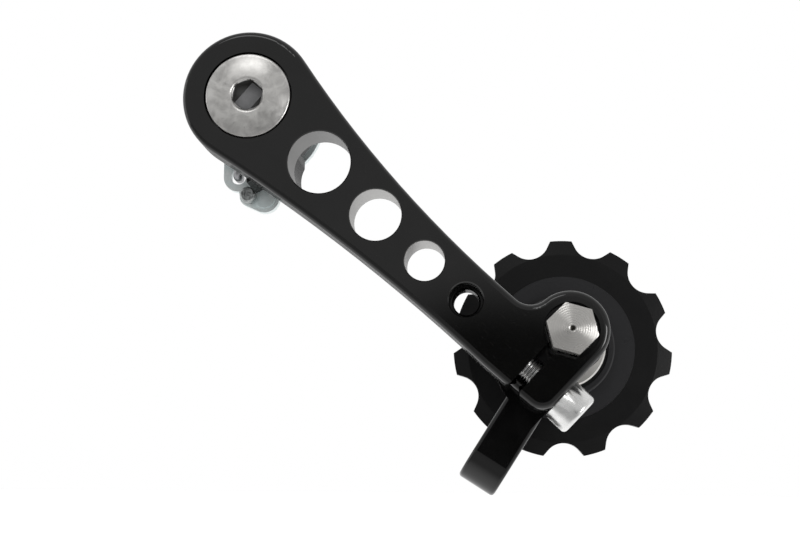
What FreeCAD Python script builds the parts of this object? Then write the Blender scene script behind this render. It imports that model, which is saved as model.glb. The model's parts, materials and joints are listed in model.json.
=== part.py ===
import FreeCAD, Part
import Sketcher
import math
import os
from types import SimpleNamespace

# Sprung chain tensioner for a bicycle with one sprocket.
# The mounting bolt's axis is the Y axis. The hanger's outer face, which the bolt's shoulder is drawn
# against, is the plane y = 0. The rider's side faces -Y, and +Z is up.
# Every piece is drawn as seen from the rider's side: its own x and y lie in the picture plane, and its
# own z points out of the bicycle, so a depth z there is y = -z in the part.

DIMENSIONS = {
    # arm, measured along and across the line through its holes
    "arm_droop": 43.2,
    "arm_back": 14.0,
    "arm_thickness": 9.0,
    "arm_edge_round": 1.1,
    "head_radius": 12.0,
    "upper_waist_along": 52.0,
    "upper_waist": 5.95,
    "lower_waist_along": 64.0,
    "lower_waist": 6.2,
    "hole_chamfer": 0.2,
    "hole_1_along": 18.0,
    "hole_1_radius": 5.65,
    "hole_2_along": 32.0,
    "hole_2_radius": 4.62,
    "hole_3_along": 44.0,
    "hole_3_radius": 3.56,
    "hole_4_along": 54.0,
    "hole_4_radius": 3.0,
    # clamp at the arm's end
    "axle_along": 71.0,
    "axle_across": 8.65,
    "boss_radius": 6.9,
    "boss_offset": 0.2,
    "boss_root_round": 3.9,
    "jaw_bottom": 5.55,
    "jaw_corner_round": 3.4,
    "slit_width": 2.2,
    "slit_offset": 0.4,
    "slit_mouth_round": 0.9,
    "counterbore_radius": 5.0,
    "counterbore_depth": 2.0,
    "slide_clearance": 0.05,
    # mounting bolt and its bushes
    "hanger_thread_radius": 5.0,
    "hanger_thread_length": 9.0,
    "bolt_end_chamfer": 0.8,
    "journal_radius": 5.5,
    "bolt_head_radius": 7.72,
    "bolt_head_rim": 1.2,
    "bolt_head_dome": 0.65,
    "bolt_rim_round": 0.35,
    "bolt_socket_rim_radius": 3.4,
    "bolt_socket_bore_radius": 3.05,
    "bolt_socket_bore_depth": 0.5,
    "bolt_socket_flats": 5.0,
    "bolt_socket_turn": 19.5,
    "bolt_socket_depth": 2.5,
    "head_recess_depth": 2.0,
    "head_recess_clearance": 0.28,
    "running_clearance": 0.03,
    "bush_wall": 1.0,
    "bush_flange_thickness": 0.8,
    "bush_flange_radius": 7.2,
    "bush_length": 6.5,
    "axial_play": 0.05,
    # spring cup, stop lug and torsion spring
    "cup_outer_radius": 10.8,
    "cup_wall": 1.3,
    "cup_end": 5.8,
    "tube_outer_radius": 7.3,
    "lug_radius": 14.4,
    "lug_rest_gap": 0.03,
    "lug_waist_radius": 13.0,
    "lug_waist_angle": 81.0,
    "lug_side": 8.1,
    "lug_foot": 13.8,
    "lug_end": 4.6,
    "spring_play": 0.2,
    "spring_bend_gap": 0.35,
    "spring_half_turns": 5.0,
    "spring_pitch": 3.25,
    "spring_rear": 4.75,
    "spring_hole_clearance": 0.1,
    "spring_hole_depth": 3.0,
    # stop plate with its two pins
    "plate_back": 1.6,
    "plate_thickness": 1.8,
    "plate_radius": 11.3,
    "spring_lobe_x": -4.9,
    "spring_lobe_y": -10.9,
    "spring_lobe_radius": 2.85,
    "spring_lobe_hole_radius": 1.45,
    "arm_pin_x": -2.7,
    "arm_pin_y": -14.75,
    "arm_pin_radius": 1.5,
    "arm_pin_lobe_margin": 0.35,
    "arm_pin_height": 2.4,
    "pad_lobe_x": 0.25,
    "pad_lobe_y": -14.95,
    "pad_lobe_radius": 2.9,
    "pad_radius": 2.0,
    "pad_height": 0.35,
    "hanger_pin_x": 0.6,
    "hanger_pin_radius": 1.3,
    "hanger_pin_length": 4.2,
    "hanger_pin_depth": 1.3,
    "pin_chamfer": 0.3,
    "fit_clearance": 0.01,
    # ring that keeps the plate on the bolt
    "ring_thickness": 0.9,
    "ring_groove_depth": 0.6,
    "ring_outer_radius": 7.4,
    "ring_gap": 7.0,
    # axle: sleeve, bolt, rear cap and nut
    "axle_screw_radius": 2.5,
    "axle_screw_clearance": 0.04,
    "sleeve_radius": 4.0,
    "sleeve_front": 22.5,
    "sleeve_chamfer": 0.3,
    "flange_front": -7.0,
    "flange_thickness": 2.0,
    "flange_radius": 8.15,
    "nose_radius": 3.75,
    "hex_flats": 8.0,
    "hex_height": 4.5,
    "hex_turn": 44.5,
    "hex_face_rise": 0.35,
    "hex_dimple_radius": 0.8,
    "hex_dimple_depth": 0.4,
    "cap_nose": 0.8,
    "cap_thickness": 1.2,
    "cap_radius": 7.0,
    "nut_height": 4.0,
    "nut_chamfer": 0.5,
    "nut_chamfer_height": 0.6,
    "axle_screw_spare": 0.8,
    # pinch screw across the slit
    "pinch_across": -1.0,
    "pinch_depth": 18.5,
    "pinch_radius": 2.5,
    "pinch_tip_chamfer": 0.5,
    "pinch_free_clearance": 0.25,
    "pinch_length": 18.0,
    "pinch_head_radius": 4.05,
    "pinch_head_height": 4.5,
    "pinch_head_round": 0.8,
    "pinch_socket_flats": 4.0,
    "pinch_socket_depth": 2.2,
    # chain guide behind the clamp
    "guide_angle": 122.0,
    "guide_thickness": 2.5,
    "guide_eye_radius": 6.8,
    "guide_half_width": 3.65,
    "guide_reach": 31.7,
    "guide_bend_radius": 5.5,
    "guide_end": -18.0,
    "guide_edge_round": 0.6,
    "guide_ear_along": 65.2,
    "guide_ear_across": -2.8,
    "guide_ear_radius": 3.1,
    "guide_web_along": 15.3,
    "guide_web_side": 3.6,
    "tab_width": 2.0,
    "tab_inner": 12.4,
    "tab_outer": 13.9,
    "tab_height": 6.0,
    "tab_round": 0.7,
    "guide_screw_radius": 1.5,
    "guide_screw_engaged": 1.6,
    "guide_screw_head_radius": 2.75,
    "guide_screw_head_height": 1.65,
    "guide_screw_head_flat": 1.65,
    "guide_screw_head_dome": 1.95,
    "guide_screw_socket_flats": 2.0,
    "guide_screw_socket_depth": 1.0,
    # pulley wheel, drawn about its middle plane
    "wheel_middle": -13.75,
    "tooth_count": 11.0,
    "tooth_phase": 0.4,
    "tip_radius": 21.5,
    "root_radius": 18.65,
    "valley_radius": 3.95,
    "tooth_half_angle": 5.72,
    "tooth_half_width": 1.2,
    "tooth_tip_half_width": 0.8,
    "disc_half_width": 1.5,
    "disc_radius": 14.2,
    "disc_slope": 0.05,
    "hub_half_width": 4.0,
    "hub_radius": 10.1,
    "hub_lip_radius": 8.9,
    "hub_edge_round": 0.3,
    # ball bearing of the pulley
    "bearing_bore_radius": 2.5,
    "bearing_outer_radius": 8.0,
    "bearing_half_width": 2.5,
    "inner_race_radius": 3.9,
    "outer_race_radius": 6.3,
    "ball_count": 8.0,
    "ball_radius": 1.35,
    "ball_circle_radius": 5.1,
    "ball_clearance": 0.03,
    "cage_wall": 1.1,
    "cage_half_width": 1.8,
    "shield_thickness": 0.3,
    "shield_inset": 0.15,
    "shield_seat": 0.6,
    "shield_gap": 0.12,
}

doc = FreeCAD.newDocument("ChainTensioner")
sheet = doc.addObject("Spreadsheet::Sheet", "Sizes")
next_row = 1


class Size:
    """A length or angle, kept with the sheet formula that gives it."""

    def __init__(self, formula, value):
        self.formula = formula
        self.value = float(value)

    def __add__(self, other):
        other = as_size(other)
        return Size(f"({self.formula} + {other.formula})", self.value + other.value)

    def __radd__(self, other):
        return as_size(other) + self

    def __sub__(self, other):
        other = as_size(other)
        return Size(f"({self.formula} - {other.formula})", self.value - other.value)

    def __rsub__(self, other):
        return as_size(other) - self

    def __mul__(self, other):
        other = as_size(other)
        return Size(f"({self.formula} * {other.formula})", self.value * other.value)

    def __rmul__(self, other):
        return as_size(other) * self

    def __truediv__(self, other):
        other = as_size(other)
        return Size(f"({self.formula} / {other.formula})", self.value / other.value)

    def __rtruediv__(self, other):
        return as_size(other) / self

    def __neg__(self):
        return 0 - self


def as_size(number):
    if isinstance(number, Size):
        return number
    return Size(repr(float(number)), number)


def root(size):
    return Size(f"sqrt({size.formula})", math.sqrt(size.value))


def smaller(first, second):
    return Size(f"min({first.formula}; {second.formula})", min(first.value, second.value))


def cosine(angle):
    return Size(f"cos({angle.formula})", math.cos(math.radians(angle.value)))


def sine(angle):
    return Size(f"sin({angle.formula})", math.sin(math.radians(angle.value)))


def arctangent(size):
    return Size(f"(atan({size.formula}) / 1 deg)", math.degrees(math.atan(size.value)))


def arccosine(size):
    return Size(f"(acos({size.formula}) / 1 deg)", math.degrees(math.acos(size.value)))


def write_cell(name, text):
    """Put text in the sheet's next cell, under a name."""
    global next_row
    sheet.set(f"A{next_row}", name)
    sheet.set(f"B{next_row}", text)
    sheet.setAlias(f"B{next_row}", name)
    next_row += 1


def derive(name, size):
    """Keep a worked-out size in a cell of its own, so that later formulas stay short."""
    write_cell(name, "=" + size.formula.replace("Sizes.", ""))
    return Size("Sizes." + name, size.value)


for dimension, number in DIMENSIONS.items():
    write_cell(dimension, str(number))
D = SimpleNamespace(**{name: Size("Sizes." + name, number) for name, number in DIMENSIONS.items()})
doc.recompute()


def sheet_point(x, y):
    return (as_size(x), as_size(y))


def origin_feature(body, role):
    return next(item for item in body.Origin.OriginFeatures if item.Role == role)


def new_body(label, x=0, y=0, depth=0, turn=0):
    """A piece whose own z points out of the bicycle, at (x, y) in the picture, turned clockwise."""
    body = doc.addObject("PartDesign::Body", label)
    body.Label = label
    body.Placement = FreeCAD.Placement(FreeCAD.Vector(), FreeCAD.Rotation(0, as_size(turn).value, 90))
    bind_place(body, x, y, depth)
    return body


def bind_place(body, x, y, depth):
    """Tie a piece's origin to a point of the picture and a depth."""
    for direction, size in (("x", x), ("y", -as_size(depth)), ("z", y)):
        body.setExpression("Placement.Base." + direction, as_size(size).formula)


def new_sketch(body, name, role="XY_Plane", offset=0):
    sketch = body.newObject("Sketcher::SketchObject", name)
    sketch.AttachmentSupport = [(origin_feature(body, role), "")]
    sketch.MapMode = "FlatFace"
    offset = as_size(offset)
    sketch.AttachmentOffset = FreeCAD.Placement(FreeCAD.Vector(0, 0, offset.value), FreeCAD.Rotation())
    sketch.setExpression("AttachmentOffset.Base.z", offset.formula)
    return sketch


def bind(sketch, constraint, size):
    sketch.setExpression(f"Constraints[{sketch.addConstraint(constraint)}]", size.formula)


def place_point(sketch, geometry, end, point):
    """Tie one point of the sketch to its two coordinates."""
    for kind, size in zip(("DistanceX", "DistanceY"), point):
        bind(sketch, Sketcher.Constraint(kind, -1, 1, geometry, end, size.value), size)


def add_circle(sketch, radius, x=0, y=0):
    centre = sheet_point(x, y)
    radius = as_size(radius)
    at = FreeCAD.Vector(centre[0].value, centre[1].value, 0)
    index = sketch.addGeometry(Part.Circle(at, FreeCAD.Vector(0, 0, 1), radius.value), False)
    place_point(sketch, index, 3, centre)
    bind(sketch, Sketcher.Constraint("Radius", index, radius.value), radius)


def add_outline(sketch, corners):
    """A closed outline. A corner is (x, y), or (x, y, radius) where an arc of that radius leaves it:
    the arc turns left for a positive radius and right for a negative one."""
    points = [sheet_point(corner[0], corner[1]) for corner in corners]
    edges = []
    for number, corner in enumerate(corners):
        start = FreeCAD.Vector(points[number][0].value, points[number][1].value, 0)
        after = points[(number + 1) % len(points)]
        end = FreeCAD.Vector(after[0].value, after[1].value, 0)
        if len(corner) == 2:
            edges.append((sketch.addGeometry(Part.LineSegment(start, end), False), 1, 2))
            continue
        radius = corner[2]
        chord = end - start
        left = FreeCAD.Vector(-chord.y, chord.x, 0).normalize()
        rise = math.sqrt(max(radius.value ** 2 - (chord.Length / 2) ** 2, 0))
        turns_left = radius.value > 0
        centre = start + chord * 0.5 + left * (rise if turns_left else -rise)
        first, last = (start, end) if turns_left else (end, start)
        circle = Part.Circle(centre, FreeCAD.Vector(0, 0, 1), abs(radius.value))
        angles = [math.atan2(spot.y - centre.y, spot.x - centre.x) for spot in (first, last)]
        index = sketch.addGeometry(Part.ArcOfCircle(circle, angles[0], angles[1]), False)
        size = radius if turns_left else -radius
        bind(sketch, Sketcher.Constraint("Radius", index, size.value), size)
        edges.append((index, 1, 2) if turns_left else (index, 2, 1))
    for number, edge in enumerate(edges):
        following = edges[(number + 1) % len(edges)]
        sketch.addConstraint(Sketcher.Constraint("Coincident", edge[0], edge[2], following[0], following[1]))
        place_point(sketch, edge[0], edge[1], points[number])


def add_polygon(sketch, flats, turn=0):
    """A regular hexagon about the sketch's origin, with one corner at the angle turn."""
    corner_radius = as_size(flats) / root(as_size(3))
    corners = []
    for number in range(6):
        angle = as_size(turn) + 60 * number
        corners.append((corner_radius * cosine(angle), corner_radius * sine(angle)))
    add_outline(sketch, corners)


def stop_if_failed(feature):
    if "Invalid" in feature.State or "Error" in feature.State:
        raise RuntimeError(f"{feature.Name} failed")


def pad(body, sketch, length, backward=False):
    """Grow up from the sketch, or down from it where backward is set."""
    feature = body.newObject("PartDesign::Pad", sketch.Name + "_pad")
    feature.Profile = sketch
    feature.Length = as_size(length).value
    feature.setExpression("Length", as_size(length).formula)
    feature.Reversed = backward
    doc.recompute()
    stop_if_failed(sketch)
    return feature


def pocket(body, sketch, depth, outward=False):
    """Cut down from the sketch, or up from it where outward is set."""
    before = body.Shape.Volume
    feature = body.newObject("PartDesign::Pocket", sketch.Name + "_cut")
    feature.Profile = sketch
    feature.Length = as_size(depth).value
    feature.setExpression("Length", as_size(depth).formula)
    feature.Reversed = outward
    doc.recompute()
    stop_if_failed(sketch)
    if body.Shape.Volume >= before:
        raise RuntimeError(f"{feature.Name} cuts nothing")
    return feature


def turn_about_z(body, name, corners, cut=False):
    """A revolved solid, or groove, whose corners are (radius, z)."""
    sketch = new_sketch(body, name, "XZ_Plane")
    add_outline(sketch, corners)
    before = body.Shape.Volume if cut else 0
    kind = "PartDesign::Groove" if cut else "PartDesign::Revolution"
    feature = body.newObject(kind, name + "_turned")
    feature.Profile = sketch
    feature.ReferenceAxis = (sketch, ["V_Axis"])
    feature.Angle = 360.0
    doc.recompute()
    if cut and body.Shape.Volume >= before:
        raise RuntimeError(f"{feature.Name} cuts nothing")
    return feature


def dress(body, kind, name, size, chosen):
    """A fillet or chamfer on the edges that the test picks."""
    base = body.Tip
    names = [f"Edge{number}" for number, edge in enumerate(base.Shape.Edges, 1) if chosen(edge)]
    if not names:
        raise RuntimeError(f"{name} finds no edge")
    feature = body.newObject("PartDesign::" + kind, name)
    feature.Base = (base, names)
    quantity = "Radius" if kind == "Fillet" else "Size"
    setattr(feature, quantity, as_size(size).value)
    feature.setExpression(quantity, as_size(size).formula)
    doc.recompute()
    return feature


def is_upright(edge, x, y, reach=0.05):
    """True for an edge along z at (x, y)."""
    box = edge.BoundBox
    flat = max(box.XLength, box.YLength) < reach
    return flat and abs(box.Center.x - x) < reach and abs(box.Center.y - y) < reach


def is_level(edge, z, reach=0.01):
    """True for an edge that lies in the plane at z."""
    box = edge.BoundBox
    return abs(box.ZMin - z) < reach and abs(box.ZMax - z) < reach


def is_circle(edge, radius, reach=0.01):
    return edge.Curve.TypeId == "Part::GeomCircle" and abs(edge.Curve.Radius - radius) < reach


def repeat_round(body, feature, count):
    pattern = body.newObject("PartDesign::PolarPattern", feature.Name + "_round")
    pattern.Originals = [feature]
    pattern.Axis = (feature.Profile[0], ["N_Axis"])
    pattern.Angle = 360.0
    pattern.Occurrences = int(count.value)
    pattern.setExpression("Occurrences", count.formula)
    body.Tip = pattern
    doc.recompute()
    return pattern


def picture_to_arm(x, y):
    """A point of the picture plane, about the pivot, in the arm's own directions."""
    along = x * cosine(D.arm_droop) - y * sine(D.arm_droop)
    across = x * sine(D.arm_droop) + y * cosine(D.arm_droop)
    return (along, across)


def arm_to_picture(along, across):
    """The point of the picture plane, about the pivot, that lies along and across the arm."""
    x = along * cosine(D.arm_droop) + across * sine(D.arm_droop)
    y = across * cosine(D.arm_droop) - along * sine(D.arm_droop)
    return (x, y)


# Shared places and radii.
arm_front = derive("arm_front", D.arm_back + D.arm_thickness)
axle_place = arm_to_picture(D.axle_along, D.axle_across)
axle_x = derive("axle_x", axle_place[0])
axle_y = derive("axle_y", axle_place[1])
bush_bore = derive("bush_bore", D.journal_radius + D.running_clearance)
bush_radius = derive("bush_radius", bush_bore + D.bush_wall)
recess_floor = derive("recess_floor", arm_front - D.head_recess_depth)
head_under = derive("head_under", recess_floor + D.bush_flange_thickness + D.axial_play)
tube_end = derive("tube_end", D.plate_back + D.plate_thickness + D.bush_flange_thickness + D.axial_play)
plate_front = derive("plate_front", D.plate_back + D.plate_thickness)
slit_left = derive("slit_left", D.axle_along - D.slit_offset - D.slit_width / 2)
slit_right = derive("slit_right", slit_left + D.slit_width)
boss_along = derive("boss_along", D.axle_along - D.boss_offset)
jaw_side = derive("jaw_side", boss_along + D.boss_radius)
guide_back = derive("guide_back", D.arm_back - D.guide_thickness)
flange_back = derive("flange_back", D.flange_front - D.flange_thickness)
bearing_front = derive("bearing_front", D.wheel_middle + D.bearing_half_width)
bearing_back = derive("bearing_back", D.wheel_middle - D.bearing_half_width)
cap_back = derive("cap_back", bearing_back - D.cap_nose - D.cap_thickness)
nut_back = derive("nut_back", cap_back - D.nut_height)
axle_bore = derive("axle_bore", D.axle_screw_radius + D.axle_screw_clearance)
cup_bore = derive("cup_bore", D.cup_outer_radius - D.cup_wall)
spring_wire = derive("spring_wire", (cup_bore - D.tube_outer_radius) / 2 - D.spring_play)
spring_radius = derive("spring_radius", (cup_bore + D.tube_outer_radius) / 2)
spring_bend = derive("spring_bend", spring_wire + D.spring_bend_gap)


def arm_body(label):
    """A piece drawn along the arm: x runs from the pivot through the holes, y across them."""
    return new_body(label, turn=D.arm_droop)


def axle_body(label, turn=0):
    """A piece drawn about the axle."""
    return new_body(label, axle_x, axle_y, turn=turn)


def waist_radius(name, along, waist):
    """Radius of the hollow flank that touches the head and is closest to the line at its waist."""
    gap = D.head_radius - waist
    return derive(name, (along * along - gap * (D.head_radius + waist)) / (2 * gap))


def make_arm():
    body = arm_body("arm")
    upper = waist_radius("upper_flank_radius", D.upper_waist_along, D.upper_waist)
    lower = waist_radius("lower_flank_radius", D.lower_waist_along, D.lower_waist)
    upper_share = D.head_radius / (D.head_radius + upper)
    lower_share = D.head_radius / (D.head_radius + lower)
    # where the upper flank runs into the clamp's boss
    centre_gap_x = boss_along - D.upper_waist_along
    centre_gap_y = upper + D.upper_waist - D.axle_across
    centres = derive("flank_to_boss", root(centre_gap_x * centre_gap_x + centre_gap_y * centre_gap_y))
    foot = derive(
        "boss_chord_foot",
        (D.boss_radius * D.boss_radius - upper * upper + centres * centres) / (2 * centres),
    )
    half_chord = derive("boss_half_chord", root(D.boss_radius * D.boss_radius - foot * foot))
    meet_x = derive(
        "boss_meet_x", boss_along - (centre_gap_x * foot + centre_gap_y * half_chord) / centres
    )
    meet_y = derive(
        "boss_meet_y", D.axle_across + (centre_gap_y * foot - centre_gap_x * half_chord) / centres
    )

    outline = new_sketch(body, "arm_outline", offset=D.arm_back)
    add_outline(outline, [
        (D.lower_waist_along * lower_share, -(lower + D.lower_waist) * lower_share, -lower),
        (D.lower_waist_along, -D.lower_waist),
        (jaw_side, -D.jaw_bottom),
        (jaw_side, D.axle_across, D.boss_radius),
        (boss_along, D.axle_across + D.boss_radius, D.boss_radius),
        (meet_x, meet_y, -upper),
        (D.upper_waist_along * upper_share, (upper + D.upper_waist) * upper_share, D.head_radius),
        (-D.head_radius, 0, D.head_radius),
    ])
    pad(body, outline, D.arm_thickness)
    corner = (jaw_side.value, -D.jaw_bottom.value)
    dress(body, "Fillet", "jaw_corner", D.jaw_corner_round, lambda edge: is_upright(edge, *corner))
    meet = (meet_x.value, meet_y.value)
    dress(body, "Fillet", "boss_root", D.boss_root_round, lambda edge: is_upright(edge, *meet))
    faces = (arm_front.value, D.arm_back.value)
    dress(
        body, "Fillet", "arm_edges", D.arm_edge_round,
        lambda edge: any(is_level(edge, level) for level in faces),
    )

    # spring cup with the bush tube in its middle, and the lug that meets the stop plate's pin
    cup = new_sketch(body, "cup", offset=D.cup_end)
    add_circle(cup, D.cup_outer_radius)
    add_circle(cup, cup_bore)
    pad(body, cup, D.arm_back - D.cup_end + D.arm_edge_round)
    tube = new_sketch(body, "bush_tube", offset=tube_end)
    add_circle(tube, D.tube_outer_radius)
    pad(body, tube, D.arm_back - tube_end)
    lug = new_sketch(body, "stop_lug", offset=D.lug_end)
    # the lug's angles are those of the picture, so the arm's own droop is added
    start = D.arm_droop - lug_rest_angle()
    waist_angle = D.arm_droop - D.lug_waist_angle
    inner = D.cup_outer_radius - D.cup_wall / 2
    side_foot = picture_to_arm(D.lug_side, -D.lug_foot)
    side_top = picture_to_arm(D.lug_side, -D.lug_side)
    add_outline(lug, [
        (inner * cosine(start), inner * sine(start)),
        (D.lug_radius * cosine(start), D.lug_radius * sine(start)),
        (D.lug_waist_radius * cosine(waist_angle), D.lug_waist_radius * sine(waist_angle)),
        side_foot,
        side_top,
    ])
    pad(body, lug, D.arm_back - D.lug_end + D.arm_edge_round)

    # head: recess for the bolt's head and bore for the bushes
    recess = new_sketch(body, "head_recess", offset=arm_front)
    add_circle(recess, D.bolt_head_radius + D.head_recess_clearance)
    pocket(body, recess, D.head_recess_depth)
    bore = new_sketch(body, "bush_seat", offset=arm_front)
    add_circle(bore, bush_radius)
    pocket(body, bore, arm_front - tube_end)
    anchor = new_sketch(body, "spring_anchor", offset=D.arm_back)
    anchor_turn = spring_front_angle()
    anchor_reach = root(spring_radius * spring_radius + spring_bend * spring_bend)
    add_circle(
        anchor, spring_wire + D.spring_hole_clearance,
        anchor_reach * cosine(anchor_turn), anchor_reach * sine(anchor_turn),
    )
    pocket(body, anchor, D.spring_hole_depth, outward=True)

    # the four holes
    holes = (
        (D.hole_1_along, D.hole_1_radius),
        (D.hole_2_along, D.hole_2_radius),
        (D.hole_3_along, D.hole_3_radius),
        (D.hole_4_along, D.hole_4_radius),
    )
    for number, (along, radius) in enumerate(holes, 1):
        hole = new_sketch(body, f"hole_{number}", offset=arm_front)
        add_circle(hole, radius, along)
        pocket(body, hole, arm_front - D.lug_end if number == 1 else D.arm_thickness)
    return finish_arm(body, holes)


def jaw_flank(along):
    """Just outside the straight flank under the clamp, between the waist and the jaw's corner."""
    share = (along - D.lower_waist_along) / (jaw_side - D.lower_waist_along)
    return share * (D.lower_waist - D.jaw_bottom) - D.lower_waist - D.fit_clearance


def finish_arm(body, holes):
    """The clamp: bore, counterbore, slit and the holes of both screws."""
    radii = [radius.value for _, radius in holes]
    dress(
        body, "Chamfer", "hole_edges", D.hole_chamfer,
        lambda edge: is_level(edge, arm_front.value) and any(is_circle(edge, r) for r in radii),
    )
    bore = new_sketch(body, "axle_bore", offset=arm_front)
    add_circle(bore, D.sleeve_radius + D.slide_clearance, D.axle_along, D.axle_across)
    pocket(body, bore, D.arm_thickness)
    counterbore = new_sketch(body, "counterbore", offset=arm_front)
    add_circle(counterbore, D.counterbore_radius, D.axle_along, D.axle_across)
    pocket(body, counterbore, D.counterbore_depth)
    slit = new_sketch(body, "slit", offset=arm_front)
    below = -(D.lower_waist + D.slit_width)
    flare = D.slit_mouth_round
    left_foot = jaw_flank(slit_left - flare)
    right_foot = jaw_flank(slit_right + flare)
    add_outline(slit, [
        (slit_left - flare, below),
        (slit_right + flare, below),
        (slit_right + flare, right_foot, -flare),
        (slit_right, right_foot + flare),
        (slit_right, D.axle_across),
        (slit_left, D.axle_across),
        (slit_left, left_foot + flare, -flare),
        (slit_left - flare, left_foot),
    ])
    pocket(body, slit, D.arm_thickness)

    pinch = new_sketch(body, "pinch_thread", "YZ_Plane", D.axle_along)
    add_circle(pinch, D.pinch_radius + D.running_clearance, D.pinch_across, D.pinch_depth)
    pocket(body, pinch, D.axle_along - D.hole_4_along)
    free = new_sketch(body, "pinch_free", "YZ_Plane", jaw_side + D.slit_width)
    add_circle(free, D.pinch_radius + D.pinch_free_clearance, D.pinch_across, D.pinch_depth)
    pocket(body, free, jaw_side + D.slit_width - D.axle_along)
    screw = new_sketch(body, "guide_screw_hole", offset=D.arm_back)
    add_circle(screw, D.guide_screw_radius + D.fit_clearance, D.guide_ear_along, D.guide_ear_across)
    pocket(body, screw, D.guide_screw_engaged + D.fit_clearance, outward=True)
    return body


def angle_below(x, y):
    """Direction of a point left of and below the pivot, in degrees below the picture's x axis."""
    return 180 - arctangent(y / x)


def lug_rest_angle():
    """Direction, below the picture's x axis, of the lug's side that rests against the arm's pin.

    A short lug meets the pin with its corner, and one that reaches past the pin with its flat side.
    """
    pin_reach = D.arm_pin_x * D.arm_pin_x + D.arm_pin_y * D.arm_pin_y
    apart = D.arm_pin_radius + D.lug_rest_gap
    touch = smaller(D.lug_radius, root(pin_reach - apart * apart))
    share = (touch * touch + pin_reach - apart * apart) / (2 * touch * root(pin_reach))
    return angle_below(D.arm_pin_x, D.arm_pin_y) - arccosine(share)


def spring_rear_angle():
    """Direction of the stop plate's spring hole, in degrees below the picture's x axis."""
    return angle_below(D.spring_lobe_x, D.spring_lobe_y)


def spring_hook_reach():
    return root(D.spring_lobe_x * D.spring_lobe_x + D.spring_lobe_y * D.spring_lobe_y)


def spring_hook_lead():
    """Angle from the end of the spring's coil to its hook."""
    reach = spring_hook_reach()
    return arctangent(spring_bend / root(reach * reach - spring_bend * spring_bend))


def spring_front_angle():
    """Direction of the spring's front end about the pivot, in the arm's own directions."""
    wound = 180 * D.spring_half_turns + arctangent(spring_bend / spring_radius)
    return wound + D.arm_droop - spring_rear_angle() + spring_hook_lead()


def make_mounting_bolt():
    body = new_body("mounting_bolt")
    top = derive("bolt_top", head_under + D.bolt_head_rim + D.bolt_head_dome)
    rim = head_under + D.bolt_head_rim
    rise = D.bolt_head_dome
    run = D.bolt_head_radius - D.bolt_rim_round - D.bolt_socket_rim_radius
    dome = derive("bolt_dome_radius", (run * run + rise * rise) / (2 * rise))
    groove_front = D.plate_back
    groove_back = D.plate_back - D.ring_thickness
    groove_radius = D.journal_radius - D.ring_groove_depth
    turn_about_z(body, "bolt_profile", [
        (0, -D.hanger_thread_length),
        (D.hanger_thread_radius - D.bolt_end_chamfer, -D.hanger_thread_length),
        (D.hanger_thread_radius, -D.hanger_thread_length + D.bolt_end_chamfer),
        (D.hanger_thread_radius, 0),
        (D.journal_radius, 0),
        (D.journal_radius, groove_back),
        (groove_radius, groove_back),
        (groove_radius, groove_front),
        (D.journal_radius, groove_front),
        (D.journal_radius, head_under),
        (D.bolt_head_radius, head_under),
        (D.bolt_head_radius, rim - D.bolt_rim_round, D.bolt_rim_round),
        (D.bolt_head_radius - D.bolt_rim_round, rim, dome),
        (D.bolt_socket_rim_radius, top),
        (0, top),
    ])
    bore_depth = D.bolt_socket_bore_depth
    turn_about_z(body, "socket_rim", [
        (0, top - bore_depth),
        (D.bolt_socket_bore_radius - D.bolt_rim_round, top - bore_depth),
        (D.bolt_socket_bore_radius, top),
        (0, top),
    ], cut=True)
    socket = new_sketch(body, "socket", offset=top)
    add_polygon(socket, D.bolt_socket_flats, D.bolt_socket_turn)
    pocket(body, socket, D.bolt_socket_depth)
    return body


def make_bush(label, flange_front, flange_back, barrel_end):
    """A flanged liner: flange between two depths, barrel to a third."""
    body = new_body(label)
    turn_about_z(body, label + "_profile", [
        (bush_bore, barrel_end),
        (bush_radius, barrel_end),
        (bush_radius, flange_back),
        (D.bush_flange_radius, flange_back),
        (D.bush_flange_radius, flange_front),
        (bush_bore, flange_front),
    ])
    return body


def make_bushes():
    front_top = recess_floor + D.bush_flange_thickness
    make_bush("pivot_bush_front", front_top, recess_floor, recess_floor - D.bush_length)
    rear_end = tube_end - D.bush_flange_thickness
    make_bush("pivot_bush_rear", rear_end, tube_end, tube_end + D.bush_length)


def make_retaining_ring():
    body = new_body("retaining_ring", depth=D.plate_back - D.ring_thickness)
    inner = D.journal_radius - D.ring_groove_depth + D.fit_clearance
    ring = new_sketch(body, "ring_outline")
    add_circle(ring, D.ring_outer_radius)
    add_circle(ring, inner)
    pad(body, ring, D.ring_thickness - D.fit_clearance)
    gap = new_sketch(body, "ring_gap_outline", offset=D.ring_thickness)
    half = D.ring_gap / 2
    add_outline(gap, [
        (0, -half),
        (D.ring_outer_radius * 2, -half),
        (D.ring_outer_radius * 2, half),
        (0, half),
    ])
    pocket(body, gap, D.ring_thickness * 2)
    return body


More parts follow.
